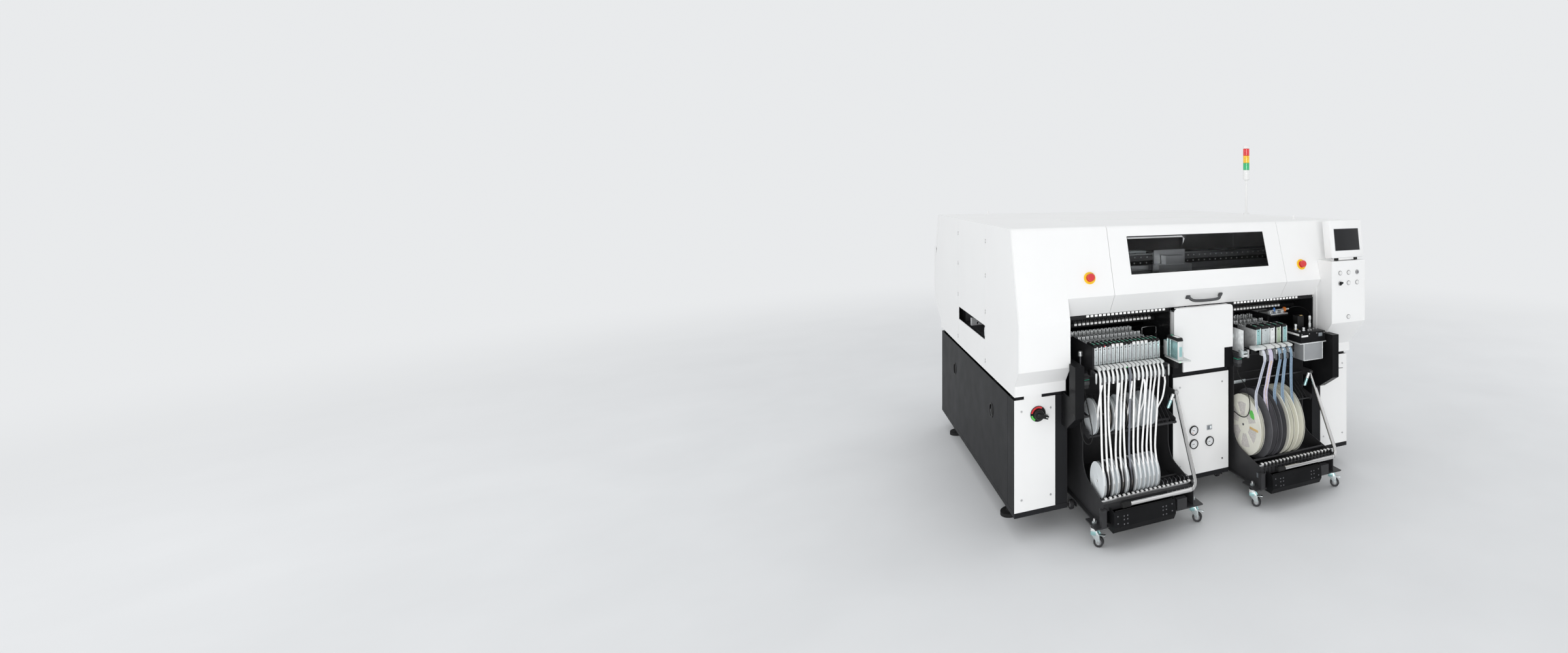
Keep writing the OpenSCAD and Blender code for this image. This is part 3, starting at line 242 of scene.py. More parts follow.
WOUND_PALE = finish("wound_cream_tape", (0.66, 0.63, 0.6), 0.6, vary=0.16, vary_scale=120, grain=0.4,
                    stretch=(8, 1, 1))
LABEL_GREEN = finish("green_marker", (0.12, 0.62, 0.1), 0.5, vary=0.06, grain=0.05)
LABEL_AMBER = finish("amber_marker", (0.72, 0.5, 0.2), 0.5, vary=0.06, grain=0.05)
SMOKE = finish("smoke_tape", (0.2, 0.21, 0.24), 0.35, vary=0.1, vary_scale=60, grain=0.05)
WINDOW = tinted("smoked_polycarbonate", (0.6, 0.605, 0.61))

NODE_FINISH = {
    WHITE: ["front_panels", "side_covers", "corner_covers", "top_cover", "rear_cover", "operator_console",
            "front_door"],
    CHARCOAL: ["base_frame", "side_panels", "control_unit"],
    CART_PAINT_WITH_PAINTED_SHEEN: ["cart_left", "cart_right"],
    SATIN_BLACK: ["bay_guards", "waste_box_left", "waste_box_right"],
    RUBBER: ["levelling_feet"],
    CASTING: ["gantry_bed"],
    BEAM_GREY: ["x_beam"],
    ALUMINIUM: ["conveyor_fixed_rail", "conveyor_moving_rail", "placement_head"],
    STEEL: ["nozzle_row", "cover_screws"],
    WINDOW: ["door_window"],
}


# Mesh building

SMOOTH_BELOW = radians(32)
BEVEL_ABOVE = 0.6
REEL_BORE = 6.6
TAPE_T = 0.8
ACROSS, OUT, UP = (1, 0, 0), (0, -1, 0), (0, 0, 1)
BOX_FACES = [[0, 2, 3, 1], [4, 5, 7, 6], [0, 1, 5, 4], [2, 6, 7, 3], [0, 4, 6, 2], [1, 3, 7, 5]]


def smooth_path(points, steps=6):
    """Points along a Catmull-Rom curve through the given ones."""
    p = [Vector(q) for q in points]
    p = [2 * p[0] - p[1], *p, 2 * p[-1] - p[-2]]
    found = []
    for i in range(1, len(p) - 2):
        for k in range(steps):
            t = k / steps
            found.append(0.5 * (2 * p[i] + (p[i + 1] - p[i - 1]) * t
                                + (2 * p[i - 1] - 5 * p[i] + 4 * p[i + 1] - p[i + 2]) * t * t
                                + (3 * p[i] - p[i - 1] - 3 * p[i + 1] + p[i + 2]) * t ** 3))
    return [*found, p[-2]]


def span(middle, half):
    """Ends of a span that reaches half each way from its middle."""
    return middle - half, middle + half


def angles(sides):
    """Angles of the corners of a polygon with so many sides."""
    return [2 * pi * k / sides for k in range(sides)]


def along_axis(axis):
    """Turn that takes Z to the given axis."""
    return Vector(UP).rotation_difference(Vector(axis)).to_matrix()


def bands(n, count):
    """Faces of the bands between rings of n points that follow each other."""
    return [[n * i + k, n * i + (k + 1) % n, n * (i + 1) + (k + 1) % n, n * (i + 1) + k]
            for i in range(count) for k in range(n)]


def swept(rings):
    """Points and faces of a closed tube through rings of equal length, capped at both ends."""
    n = len(rings[0])
    last = len(rings) - 1
    points = [p for ring in rings for p in ring]
    return points, [list(range(n - 1, -1, -1)), *bands(n, last), [n * last + k for k in range(n)]]


class Piece:
    """One mesh made of bevelled parts in several finishes, in millimetres on the machine."""

    def __init__(self, x=0, y=0, z=0, place=None):
        self.place = place or Matrix.Translation((x, y, z))
        self.mesh = bmesh.new()
        self.finishes = []

    def add(self, points, faces, material, bevel=0.0, thick=0.0):
        """One part in one finish, thickened or with its sharp edges bevelled where asked."""
        part = bmesh.new()
        corners = [part.verts.new(self.place @ Vector(p)) for p in points]
        for face in faces:
            part.faces.new([corners[i] for i in face])
        if thick:
            part.normal_update()
            bmesh.ops.solidify(part, geom=part.faces[:], thickness=thick)
        bmesh.ops.recalc_face_normals(part, faces=part.faces)
        if bevel:
            sharp = [e for e in part.edges if len(e.link_faces) == 2 and e.calc_face_angle() > BEVEL_ABOVE]
            bmesh.ops.bevel(part, geom=sharp, offset=bevel, segments=2, profile=0.5, affect="EDGES",
                            clamp_overlap=True)
        if material not in self.finishes:
            self.finishes.append(material)
        for face in part.faces:
            face.material_index = self.finishes.index(material)
        kept = bpy.data.meshes.new("part")
        part.to_mesh(kept)
        part.free()
        self.mesh.from_mesh(kept)
        bpy.data.meshes.remove(kept)

    def box(self, x, y, z, material, bevel=0.8):
        """Box over three spans, whichever way round each is given."""
        points = [(a, b, c) for c in sorted(z) for b in sorted(y) for a in sorted(x)]
        self.add(points, BOX_FACES, material, bevel)

    def prism(self, outline, x, material, bevel=0.0):
        """Outline in Y, Z drawn out along X."""
        self.add(*swept([[(a, *p) for p in outline] for a in x]), material, bevel)

    def slab(self, outline, y, material, bevel=0.0):
        """Outline in X, Z drawn out along Y."""
        self.add(*swept([[(p[0], b, p[1]) for p in outline] for b in y]), material, bevel)

    def turned(self, centre, axis, profile, material, sides=40):
        """Profile of (radius, height) turned about an axis; it is closed by its own ends."""
        turn = along_axis(axis)
        rings = [[Vector(centre) + turn @ Vector((max(r, 0.01) * cos(a), max(r, 0.01) * sin(a), h))
                  for a in angles(sides)] for r, h in profile]
        self.add(*swept(rings), material)

    def rod(self, start, end, r, material, sides=20, edge=0.6):
        """Round bar with slightly broken edges."""
        axis = Vector(end) - Vector(start)
        h = axis.length
        e = min(edge, r / 2, h / 2)
        self.turned(start, axis, [(r - e, 0), (r, e), (r, h - e), (r - e, h)], material, sides)

    def loop(self, centre, axis, profile, material, sides=40):
        """Closed profile of (radius, height) turned about an axis, so that a bore stays open."""
        turn = along_axis(axis)
        points = [Vector(centre) + turn @ Vector((r * cos(a), r * sin(a), h))
                  for a in angles(sides) for r, h in profile]
        n = len(profile)
        starts = [(n * i, n * ((i + 1) % sides)) for i in range(sides)]
        faces = [[a + k, a + (k + 1) % n, b + (k + 1) % n, b + k] for a, b in starts for k in range(n)]
        self.add(points, faces, material)

    def ring(self, centre, axis, r_out, r_in, depth, material, sides=40):
        """Flat ring with a bore, standing depth along axis."""
        e = min(0.8, (r_out - r_in) / 3, depth / 2)
        profile = [(r_in, 0), (r_out, 0), (r_out, depth - e), (r_out - e, depth), (r_in + e, depth),
                   (r_in, depth - e)]
        self.loop(centre, axis, profile, material, sides)

    def windowed(self, centre, radius, thick, windows, material, sides=96):
        """Disc across X with a ring of windows given as inner and outer radius, count and open share."""
        r_low, r_high, count, share = windows
        radii = (REEL_BORE, r_low, r_high, radius)
        points = [(centre[0], centre[1] + r * cos(a), centre[2] + r * sin(a))
                  for r in radii for a in angles(sides)]
        faces = [face for i, face in enumerate(bands(sides, 3))
                 if i // sides != 1 or (i % sides * count / sides) % 1 >= share]
        self.add(points, faces, material, thick=thick)

    def strut(self, start, end, half, material, bevel=1.0):
        """Flat bar from start to end, half wide and half thick as given."""
        along = Vector(end) - Vector(start)
        kept = self.place
        self.place = kept @ Matrix.Translation(start) @ along.to_track_quat("Z", "X").to_matrix().to_4x4()
        self.box((-half[0], half[0]), (-half[1], half[1]), (0, along.length), material, bevel)
        self.place = kept

    def tube(self, path, r, material, sides=14, flat=1.0):
        """Round or flattened tube along a path."""
        rings = []
        up = None
        for i, p in enumerate(path):
            along = (Vector(path[min(i + 1, len(path) - 1)]) - Vector(path[max(i - 1, 0)])).normalized()
            if up is None:
                up = along.orthogonal()
            up = (up - up.dot(along) * along).normalized()
            side = along.cross(up)
            rings.append([Vector(p) + r * (cos(a) * up + flat * sin(a) * side) for a in angles(sides)])
        self.add(*swept(rings), material)

    def ribbon(self, path, width, material):
        """Tape along a path, its width along X."""
        half = Vector((width / 2, 0, 0))
        rings = []
        for i, p in enumerate(path):
            along = Vector(path[min(i + 1, len(path) - 1)]) - Vector(path[max(i - 1, 0)])
            out = Vector((0, -along.z, along.y)).normalized() * TAPE_T
            rings.append([p - half, p + half, p + half + out, p - half + out])
        self.add(*swept(rings), material)

    def done(self, name, body, slot, *replaced):
        """The finished object, riding on its body and standing for the replaced nodes."""
        mesh = bpy.data.meshes.new(name)
        for v in self.mesh.verts:
            v.co = at(*v.co)
        self.mesh.to_mesh(mesh)
        self.mesh.free()
        for material in self.finishes:
            mesh.materials.append(material)
        mesh.polygons.foreach_set("use_smooth", [True] * len(mesh.polygons))
        mesh.set_sharp_from_angle(angle=SMOOTH_BELOW)
        piece = new_object(name, mesh)
        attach(piece, body)
        if replaced:
            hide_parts(*replaced)


def leaning(x, y, z, angle):
    """Place on a face that leans back by angle, outer side towards -Y."""
    return Matrix.Translation((x, y, z)) @ Matrix.Rotation(-angle, 4, "X")


def on_slant(x, z):
    return leaning(x, SLANT_HIGH[0] + (z - TOP) * tan(SLANT), z, SLANT)


# Camera and light

def make_camera():
    """Camera of the photograph: 2400 by 1000 frame, focal length and axis point in its pixels."""
    width, height = 2400, 1000
    focal = 1063.8
    axis_px = (1765, 285.2)
    data = bpy.data.cameras.new("camera")
    data.sensor_width = 36
    data.lens = focal / width * data.sensor_width
    data.shift_x = (width / 2 - axis_px[0]) / width
    data.shift_y = (axis_px[1] - height / 2) / width
    data.clip_end = 200
    camera = new_object("camera", data)
    camera.location = at(-1989.4, -3280.6, 1708.9)
    camera.rotation_euler = (radians(90), 0, radians(-27.27))
    bpy.context.scene.camera = camera


def make_lamp(name, place, target, size, power):
    data = bpy.data.lights.new(name, "AREA")
    data.shape = "SQUARE"
    data.size = size
    data.energy = power
    lamp = new_object(name, data)
    lamp.location = place
    lamp.rotation_euler = (Vector(target) - Vector(place)).to_track_quat("-Z", "Y").to_euler()


def combined(tree, operation, *values):
    """Result of one math operation on two values."""
    node = new_node(tree, "Math")
    node.operation = operation
    for value, socket in zip(values, node.inputs):
        tree.links.new(value, socket)
    return node.outputs["Value"]


def seen_ray(tree):
    """1 where a camera, glossy or transmitted ray looks, and 0 for light that falls on the object."""
    path = new_node(tree, "LightPath")
    found = path.outputs["Is Camera Ray"]
    for name in ("Is Glossy Ray", "Is Transmission Ray"):
        found = combined(tree, "MAXIMUM", found, path.outputs[name])
    return found


def make_stage():
    """Pale floor that fades into pale surroundings, with soft light from the front, the left and above."""
    pale, level, ambient, reach = (0.97, 0.985, 1, 1), 0.84, 0.72, 40
    material, tree, bsdf = shader("pale_floor")
    link = tree.links.new
    shade = ramp_of(tree, noise_of(tree, 1.5), (0.76, 0.77, 0.78), (0.8, 0.81, 0.82))
    link(shade, bsdf.inputs["Base Color"])
    put(bsdf, Roughness=0.7)
    glow = new_node(tree, "Emission", Color=pale, Strength=level)
    distance = new_node(tree, "VectorMath")
    distance.operation = "LENGTH"
    link(new_node(tree, "TexCoord").outputs["Object"], distance.inputs[0])
    fade = new_node(tree, "MapRange", From_Min=2.0, From_Max=9.0)
    fade.interpolation_type = "SMOOTHSTEP"
    link(distance.outputs["Value"], fade.inputs["Value"])
    shown = combined(tree, "MULTIPLY", fade.outputs["Result"], seen_ray(tree))
    mix = new_node(tree, "MixShader")
    for value, socket in zip((shown, bsdf.outputs["BSDF"], glow.outputs["Emission"]), mix.inputs):
        link(value, socket)
    link(mix.outputs["Shader"], tree.nodes["Material Output"].inputs["Surface"])
    mesh = bpy.data.meshes.new("floor")
    corners = [(-reach, -reach, 0), (reach, -reach, 0), (reach, reach, 0), (-reach, reach, 0)]
    mesh.from_pydata(corners, [], [[0, 1, 2, 3]])
    mesh.materials.append(material)
    new_object("floor", mesh)
    world = bpy.data.worlds.new("studio")
    bpy.context.scene.world = world
    world.use_nodes = True
    tree = world.node_tree
    sky = tree.nodes["Background"]
    strength = new_node(tree, "MapRange", To_Min=ambient, To_Max=level)
    tree.links.new(seen_ray(tree), strength.inputs["Value"])
    tree.links.new(strength.outputs["Result"], sky.inputs["Strength"])
    put(sky, Color=pale)
    make_lamp("key", (-3.6, -8.4, 1.7), (0, -0.6, 0.8), 3.2, 268)
    make_lamp("side", (-6.0, 0.5, 3.2), (-0.8, 0.2, 0.8), 3.0, 44)
    make_lamp("right", (6.5, -1.0, 3.0), (0.4, -0.4, 0.8), 3.0, 40)
    make_lamp("top", (0, 0.4, 6), (0, 0, 1), 4.0, 32)


# Cords

LEFT_ROUTE = [(-250, -50, 705), (-250, -50, 685), (-249, -58, 655), (-247, -76, 615), (-244, -98, 570),
              (-241, -115, 525), (-240, -123, 490), (-244, -125, 464), (-252, -120, 449), (-263, -110, 447),
              (-273, -99, 458), (-280, -89, 480), (-284, -82, 508), (-286, -80, 535), (-286, -80, 560)]
RIGHT_ROUTE = [(-250, -50, 705), (-250, -50, 685), (-247, -58, 662), (-243, -78, 640), (-240, -104, 615),
               (-237, -128, 582), (-236, -144, 545), (-236, -149, 508), (-236, -142, 474), (-236, -124, 448),
               (-236, -98, 433), (-236, -66, 427), (-236, -32, 429), (-236, 5, 435), (-236, 28, 437),
               (-236, 50, 437)]
CORD_D = 5


def make_cord(side, route):
    """Limp lead from the connector under the feeder table to its anchor on the cart."""
    points = [at(CARTS[side] + x, y, z) for x, y, z in route]
    curve = bpy.data.curves.new("lead_" + side, "CURVE")
    curve.dimensions = "3D"
    curve.bevel_depth = CORD_D / 2 * MM
    curve.bevel_resolution = 4
    curve.use_fill_caps = True
    spline = curve.splines.new("POLY")
    line = smooth_path(points, 5)
    spline.points.add(len(line) - 1)
    for point, place in zip(spline.points, line):
        point.co = (*place, 1)
    curve.materials.append(BLACK_PLASTIC)
    lead = new_object("lead_" + side, curve)
    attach(lead, side + "_cart")
    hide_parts("cable_" + side)


# Hood and base details

def make_number_strips():
    """Folded lips over each bay with a row of blank slot tiles that carry a faint painted glow, and the
    perforated plate between them.
    """
    piece = Piece()
    tiles, pitch, first = 20, 23.05, 229
    for side in (-1, 1):
        for y, z in ((9.5, 1037), (180, 963)):
            piece.box((side * 196, side * 788), (y + 2, y + 4.5), (z - 3, z + 16), BLACK, 0.5)
            for i in range(tiles):
                x = side * (first + pitch * i)
                # Each tile glows a little, as painted light against the shade under its lip.
                piece.box(span(x, 7.4), (y, y + 2.2), (z + 5, z + 15.5), TILE_PAINTED_GLOW, 0.5)
                piece.box(span(x, 1.6), (y - 0.2, y + 1), (z + 8.4, z + 12), LEDGE_GREY, 0.2)
        for row in range(6):
            for i in range(46):
                x = side * (222 + 12 * i + 6 * (row % 2))
                y = 62 + 18 * row
                z = 1046 - (y - 40) * 80 / 175 - 2.8
                piece.rod((x, y, z), (x, y - 0.5, z - 0.9), 2.8, PERFORATION, 10, 0.3)
    piece.done("slot_number_strips", "machine", "black_paint")


def make_side_rings():
    """Round access ports in the dark side panels."""
    piece = Piece()
    for side in (-1, 1):
        for y in (440, 1396):
            piece.ring((side * 1049, y, 505), (side, 0, 0), 39, 32, 4, BLACK_PLASTIC)
            piece.turned((side * 1044, y, 505), (side, 0, 0), [(34, 0), (34, 2), (3, 2)], BLACK)
            piece.box((side * 1046, side * 1049), span(y, 5), (480, 530), BLACK_PLASTIC, 1)
    piece.done("side_access_ports", "machine", "dark_paint")


def make_tower():
    """Signal tower: pole, plain foot, three ribbed lenses and a cap."""
    low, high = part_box("signal_tower")
    x = (low.x + high.x) / 2 / MM
    y = ((low.y + high.y) / 2 - FRONT) / MM
    top = high.z / MM
    piece = Piece(x, y)
    lens_low, cap_low = 1830, top - 24
    pole = [(24, TOP), (24, TOP + 5), (20, TOP + 10), (8.5, TOP + 14), (8.5, 1750), (14, 1754), (24, 1758),
            (24.5, 1762), (24.5, 1828), (23, lens_low)]
    piece.turned((0, 0, 0), UP, pole, WHITE_PLASTIC)
    lens = (cap_low - lens_low) / 3
    for i, material in enumerate((LENS_GREEN, LENS_YELLOW, LENS_RED)):
        foot = lens_low + lens * i
        ribs = 9
        profile = [(22, foot)]
        for k in range(ribs):
            z = foot + 1 + (lens - 3) * k / ribs
            profile += [(23.6, z), (24.2, z + (lens - 3) / ribs * 0.5)]
        profile += [(23.6, foot + lens - 1.5), (22, foot + lens)]
        piece.turned((0, 0, 0), UP, profile, material)
    cap = [(23, cap_low), (24.5, cap_low + 1), (24.5, top - 5), (22, top - 1), (18, top)]
    piece.turned((0, 0, 0), UP, cap, WHITE_PLASTIC)
    piece.done("signal_tower_lights", "machine", "white_plastic", "signal_tower")


GAUGES = ((-50, 372), (-50, 298), (51, 298))
BUTTON_X = (862, 927, 993)
BUTTON_Z = (1198, 1137)
SINGLE = (926, 937)
SWITCH = (-933, 596)
STOP = (672, 1246)


def gauge(piece, x, z, angle):
    """Pressure gauge with a black rim, white dial, ticks and a needle."""
    piece.ring((x, 0, z), OUT, 26, 21.5, 10, BLACK_PLASTIC)
    piece.turned((x, 0, z), OUT, [(24, 0), (24, 6), (1, 6)], DIAL)
    for k in range(11):
        turn = radians(-135 + 27 * k)
        inner = 14 if k % 5 else 12
        ends = [(x + r * sin(turn), -6.2, z + r * cos(turn)) for r in (inner, 18.5)]
        piece.rod(*ends, 0.5, BLACK_PLASTIC, 6, 0.1)
    turn = radians(angle)
    tip = (x + 15 * sin(turn), -6.8, z + 15 * cos(turn))
    piece.rod((x, -6.8, z), tip, 0.6, BLACK_PLASTIC, 6, 0.1)
    piece.rod((x, -6, z), (x, -8, z), 2.5, BLACK_PLASTIC, 16)


def make_fittings():
    """Bezels, stop collars, switch plate, gauges and the small display on the covers."""
    piece = Piece()
    for x, z in [(x, z) for x in BUTTON_X for z in BUTTON_Z] + [SINGLE]:
        piece.ring((x, CONSOLE_FRONT, z), OUT, 13.5, 9.7, 3, HUB_GREY)
        piece.ring((x, CONSOLE_FRONT, z), OUT, 11.4, 9.6, 3.8, WHITE_PLASTIC)
    for x, z in GAUGES:
        gauge(piece, x, z, -60 if z > 350 else -95)
    x, z = GAUGES[0]
    piece.box((x - 9, x - 3), (-6.6, -5.8), (z - 14, z - 11), ORANGE, 0.2)
    x, z = 51, 374
    piece.box(span(x, 17), (-4, 0), span(z, 14), LEDGE_GREY, 1.2)
    piece.box(span(x, 14.5), (-4.6, -3), span(z, 11.5), LCD, 0.4)
    piece.box((x + 2, x + 13), (-4.9, -4), span(z, 8), REEL_WHITE, 0.3)
    x, z = SWITCH
    piece.ring((x, 0, z), OUT, 38, 31, 7, BLACK_PLASTIC)
    piece.turned((x, 0, z), OUT, [(34, 0), (34, 4), (9, 4)], BLACK_PLASTIC)
    for material, first, last in ((RED, -80, 35), (LABEL_GREEN, -150, -100)):
        turns = [radians(a) for a in range(first, last + 1, 5)]
        outline = [(x + 36.5 * sin(a), z + 36.5 * cos(a)) for a in turns]
        outline += [(x + 28 * sin(a), z + 28 * cos(a)) for a in reversed(turns)]
        piece.slab(outline, (-7.6, -3), material)
    for side in (-1, 1):
        piece.place = on_slant(side * STOP[0], STOP[1])
        piece.ring((0, 0, 0), OUT, 31, 9.2, 5, YELLOW)
        piece.ring((0, 0, 0), OUT, 20, 9.2, 7, RED)
    piece.done("panel_controls", "machine", "fittings", "panel_fittings")


def make_knobs():
    """Stop mushrooms, rotary knobs and push button caps, each on its own body."""
    mushroom = [(8.4, 0), (8.4, 29), (16, 30), (19, 32), (19.3, 40), (18.4, 45), (15.5, 48), (8, 49.5),
                (1, 50)]
    for side, sign in (("left", -1), ("right", 1)):
        piece = Piece(place=on_slant(sign * STOP[0], STOP[1]))
        piece.turned((0, 16, 0), OUT, mushroom, RED)
        for k in range(24):
            turn = radians(15 * k)
            ends = [(19 * cos(turn), y, 19 * sin(turn)) for y in (-18, -25)]
            piece.rod(*ends, 0.9, RED, 6, 0.2)
        piece.done("stop_button_" + side, "stop_" + side, "red_plastic", "estop_" + side)
    piece = Piece(SWITCH[0], 0, SWITCH[1])
    piece.turned((0, -0.5, 0), OUT, [(8, 0), (8, 10), (24, 10.5), (24, 28), (21, 33), (2, 34)],
                 BLACK_PLASTIC)
    piece.place = piece.place @ Matrix.Rotation(radians(20), 4, "Y")
    piece.box((-14, 44), (-46, -14), (-9, 9), BLACK_PLASTIC, 4)
    piece.box((30, 43), (-46.6, -45), (-1.5, 1.5), WHITE_PLASTIC, 0.3)
    piece.done("main_switch_grip", "main_switch", "black_plastic", "main_switch_knob")
    piece = Piece(BUTTON_X[0], CONSOLE_FRONT, BUTTON_Z[1])
    piece.turned((0, 12, 0), OUT, [(8.8, 0), (8.8, 16), (8, 18), (2, 18.2)], BLACK_PLASTIC)
    piece.place = piece.place @ Matrix.Rotation(radians(-35), 4, "Y")
    piece.box((-12, 12), (-18, -5), (-4, 4), BLACK_PLASTIC, 1.5)
    piece.done("selector_grip", "selector", "black_plastic", "selector_knob")
    left, mid, right = BUTTON_X
    upper, lower = BUTTON_Z
    places = {"upper_left": (left, upper), "upper_mid": (mid, upper), "upper_right": (right, upper),
              "lower_mid": (mid, lower), "lower_right": (right, lower), "single": SINGLE}
    cap = [(9, 0), (9, 7), (12, 7.2), (12, 10.2), (9, 10.4), (9, 19), (8.2, 20.6), (6.6, 21), (6.2, 20.4),
           (1, 20.2)]
    for name, (x, z) in places.items():
        material = HUB_GREY if name == "upper_right" else WHITE_PLASTIC
        piece = Piece(x, CONSOLE_FRONT, z)
        piece.turned((0, 14, 0), OUT, cap, material)
        piece.done("cap_" + name, "button_" + name, "button_plastic", "button_" + name)


def make_touch_panel():
    """Tilting operator panel: rounded case, recessed frame and dark screen."""
    low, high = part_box("touch_panel")
    foot, head = (-155, 1287), (-127, 1508)
    rise = (head[0] - foot[0], head[1] - foot[1])
    height = hypot(*rise)
    half = (high.x - low.x) / MM / 2
    piece = Piece(place=leaning((low.x + high.x) / MM / 2, *foot, atan2(*rise)))
    piece.box((-half, half), (1, 66), (0.5, height), WHITE, 7)
    piece.box((-96, 96), (0.4, 6), (41, 173), LEDGE_GREY, 1)
    piece.box((-94, 94), (-0.2, 5), (43, 171), SCREEN, 0.8)
    for side in (-1, 1):
        piece.box((side * 62, side * 84), (16, 52), (-14, 2), BLACK_PLASTIC, 2)
    piece.box((-58, 58), (20, 48), (-12, 2), WHITE, 1.5)
    piece.done("operator_panel", "display", "white_plastic", "touch_panel")


# Front door and the beam behind it

def make_door_details():
    """Bow handle under the window and the black gasket around it."""
    tilt = atan2(SLANT_LOW[0] - BEVEL_LOW[0], SLANT_LOW[1] - BEVEL_LOW[1])
    z = 1112
    y = BEVEL_LOW[0] + (z - BEVEL_LOW[1]) * tan(tilt)
    piece = Piece(place=leaning(0, y, z, tilt))
    bow = [(-104, 0, 0), (-98, -9, 0), (-88, -24, -2), (-72, -32, -3), (-36, -35, -4), (0, -35.5, -4)]
    bow += [(-a, b, c) for a, b, c in reversed(bow[:-1])]
    piece.tube(smooth_path(bow, 6), 8, DARK_PLASTIC, 18, 1.1)
    for side in (-1, 1):
        piece.box((side * 90, side * 116), (-9, 0.5), (-12, 12), DARK_PLASTIC, 4)
    piece.done("bow_handle", "door", "black_plastic", "door_handle")
    half, low, high = 438, 1250, 1445
    piece = Piece(place=on_slant(0, (low + high) / 2))
    rise = (high - low) / 2 / cos(SLANT)
    for side in (-1, 1):
        piece.box((-half, half), (0.6, 3.2), (side * rise, side * (rise - 4)), RUBBER, 0.5)
        piece.box((side * half, side * (half - 4)), (0.6, 3.2), (-rise, rise), RUBBER, 0.5)
    piece.done("window_gasket", "door", "black_plastic")


def make_beam_trim():
    """Screw rows, cover strips and junction box on the gantry beam, seen through the window."""
    piece = Piece()
    front, half, screw = 400, 870, 4.5
    piece.box((-half, half), (front - 6, front), (1244, 1268), BLACK, 1)
    piece.box((-half, half), (front - 4, front), (1301, 1309), ALUMINIUM, 1)
    piece.box((-520, -125), (front - 5, front), (1178, 1240), ALUMINIUM, 1.5)
    for x in range(10 - half, half, 40):
        piece.rod((x, front - 14.2, 1290), (x, front - 10, 1290), screw, BRIGHT_ZINC, 12, 0.1)
        piece.rod((x, front - 7.5, 1256), (x, front - 4, 1256), screw, BRIGHT_ZINC, 12, 0.4)
    piece.box((-262, -140), (front - 2, front + 70), (1309, 1328), ZINC, 2)
    piece.box((-250, -152), (front + 2, front + 66), (1327, 1329), ALUMINIUM, 0.6)
    piece.done("beam_trim", "beam", "steel")


# Feeders

SLOT_PITCH = 23
FIRST_SLOT = -212
FEEDER_FRONT = -100
TABLE_Z = 778
TAGGED = (4, 5, 6, 9, 10, 11, 12)
CHUTE_TIP = (-166, 741)
LEDGE = ((-152, 806.5), (-152, 813), (-146, 818), (-98, 822), (-98, 806.5))
LEDGE_CARD = ((-148, 817.4), (-148, 818.4), (-110, 821.8), (-110, 820.8))
LEDGE_DIVIDER = ((-153, 806.7), (-153, 815), (-146, 820), (-112, 823), (-112, 806.7))
WIDE_FEEDERS = ((-142, 34), (-93, 54), (-47, 34), (-4, 33), (40, 33))
WIDE_TAPES = ((-149, 18), (-105, 27), (-43, 21), (-8, 22), (34, 19))


def slot_x(i):
    return FIRST_SLOT + SLOT_PITCH * i


def feeder_head(piece, x, w, plate, tagged, plain=False):
    """Front plate with folded edges and holes, black top bar with its stripes, and a blank tag."""
    half = w / 2 - 1.1
    front = FEEDER_FRONT
    piece.box(span(x, half), (front - 0.4, front + 2), (824, 908), plate, 0.8)
    for side in (-1, 1):
        edge = x + side * (half - 1.3)
        piece.box(span(edge, 1.3), (front - 2.4, front + 1), (826, 908), BRIGHT_ZINC, 0.8)
    piece.box((x + half - 6, x + half), (front - 1.6, front + 2), (905, 913), BRIGHT_ZINC, 0.8)
    if not plain:
        piece.box((x - 2.4, x - 0.9), (front - 0.8, front + 1), (830, 889), DARK_STEEL, 0.3)
        piece.rod((x + 3, front + 1, 836), (x + 3, front - 0.9, 836), 1.6, BLACK_PLASTIC, 12, 0.2)
        piece.rod((x + 3, front + 1, 868), (x + 3, front - 1.3, 868), 1.5, STEEL, 12, 0.4)
    piece.rod((x - 1, front + 1, 898), (x - 1, front - 0.9, 898), 2.9, BLACK_PLASTIC, 16, 0.2)
    bar = [(front, 907), (front, 916), (front + 7, 921.4), (-6, 921.4), (4, 908), (4, 899), (front, 899)]
    piece.prism(bar, span(x, half), BLACK_PLASTIC, 1.2)
    piece.box((x - 3.6, x + 0.8), (front + 20, front + 56), (921, 921.9), GREEN, 0.2)
    piece.box((x + 1.8, x + 4), (front + 20, front + 56), (921, 921.9), LEDGE_GREY, 0.2)
    piece.box(span(x, 2.4), (front + 66, front + 82), (921, 921.9), WHITE_PLASTIC, 0.2)
    if tagged:
        piece.box((x - half + 1, x + half - 1), (front - 1.5, front + 5), (906, 919.5), WHITE_PLASTIC, 1)


def feeder_rear(piece, x, w):
    """Dark frame of a feeder, with the bright rails, rollers and drive blocks behind its top bar."""
    half = w / 2 - 2.4
    strip = [(4, 898), (4, 905), (300, 905), (313, 899), (313, 895)]
    piece.box(span(x, half), (-97, 312), (TABLE_Z + 1, 899), BLACK, 0.8)
    for side in (-1, 1):
        rail = x + side * 0.55 * half
        piece.prism(strip, span(rail, 1), BRIGHT_ZINC, 0.4)
        for y, z, size in ((14, 907, 4), (131, 919.4, 7), (238, 924, 6), (260, 924, 6)):
            piece.box(span(rail, 3.2), span(y, size), (899, z), BRIGHT_ZINC, 1.6)
        for y in (46, 78, 168, 204, 292):
            piece.box(span(rail, 2), span(y, 3), (899, 907), BRIGHT_ZINC, 1)
    for y, z in ((131, 912), (249, 914)):
        piece.rod((x - half, y, z), (x + half, y, z), 3, STEEL, 14)
    piece.box(span(x, half), (272, 286), (890, 910), BRIGHT_ZINC, 1.5)


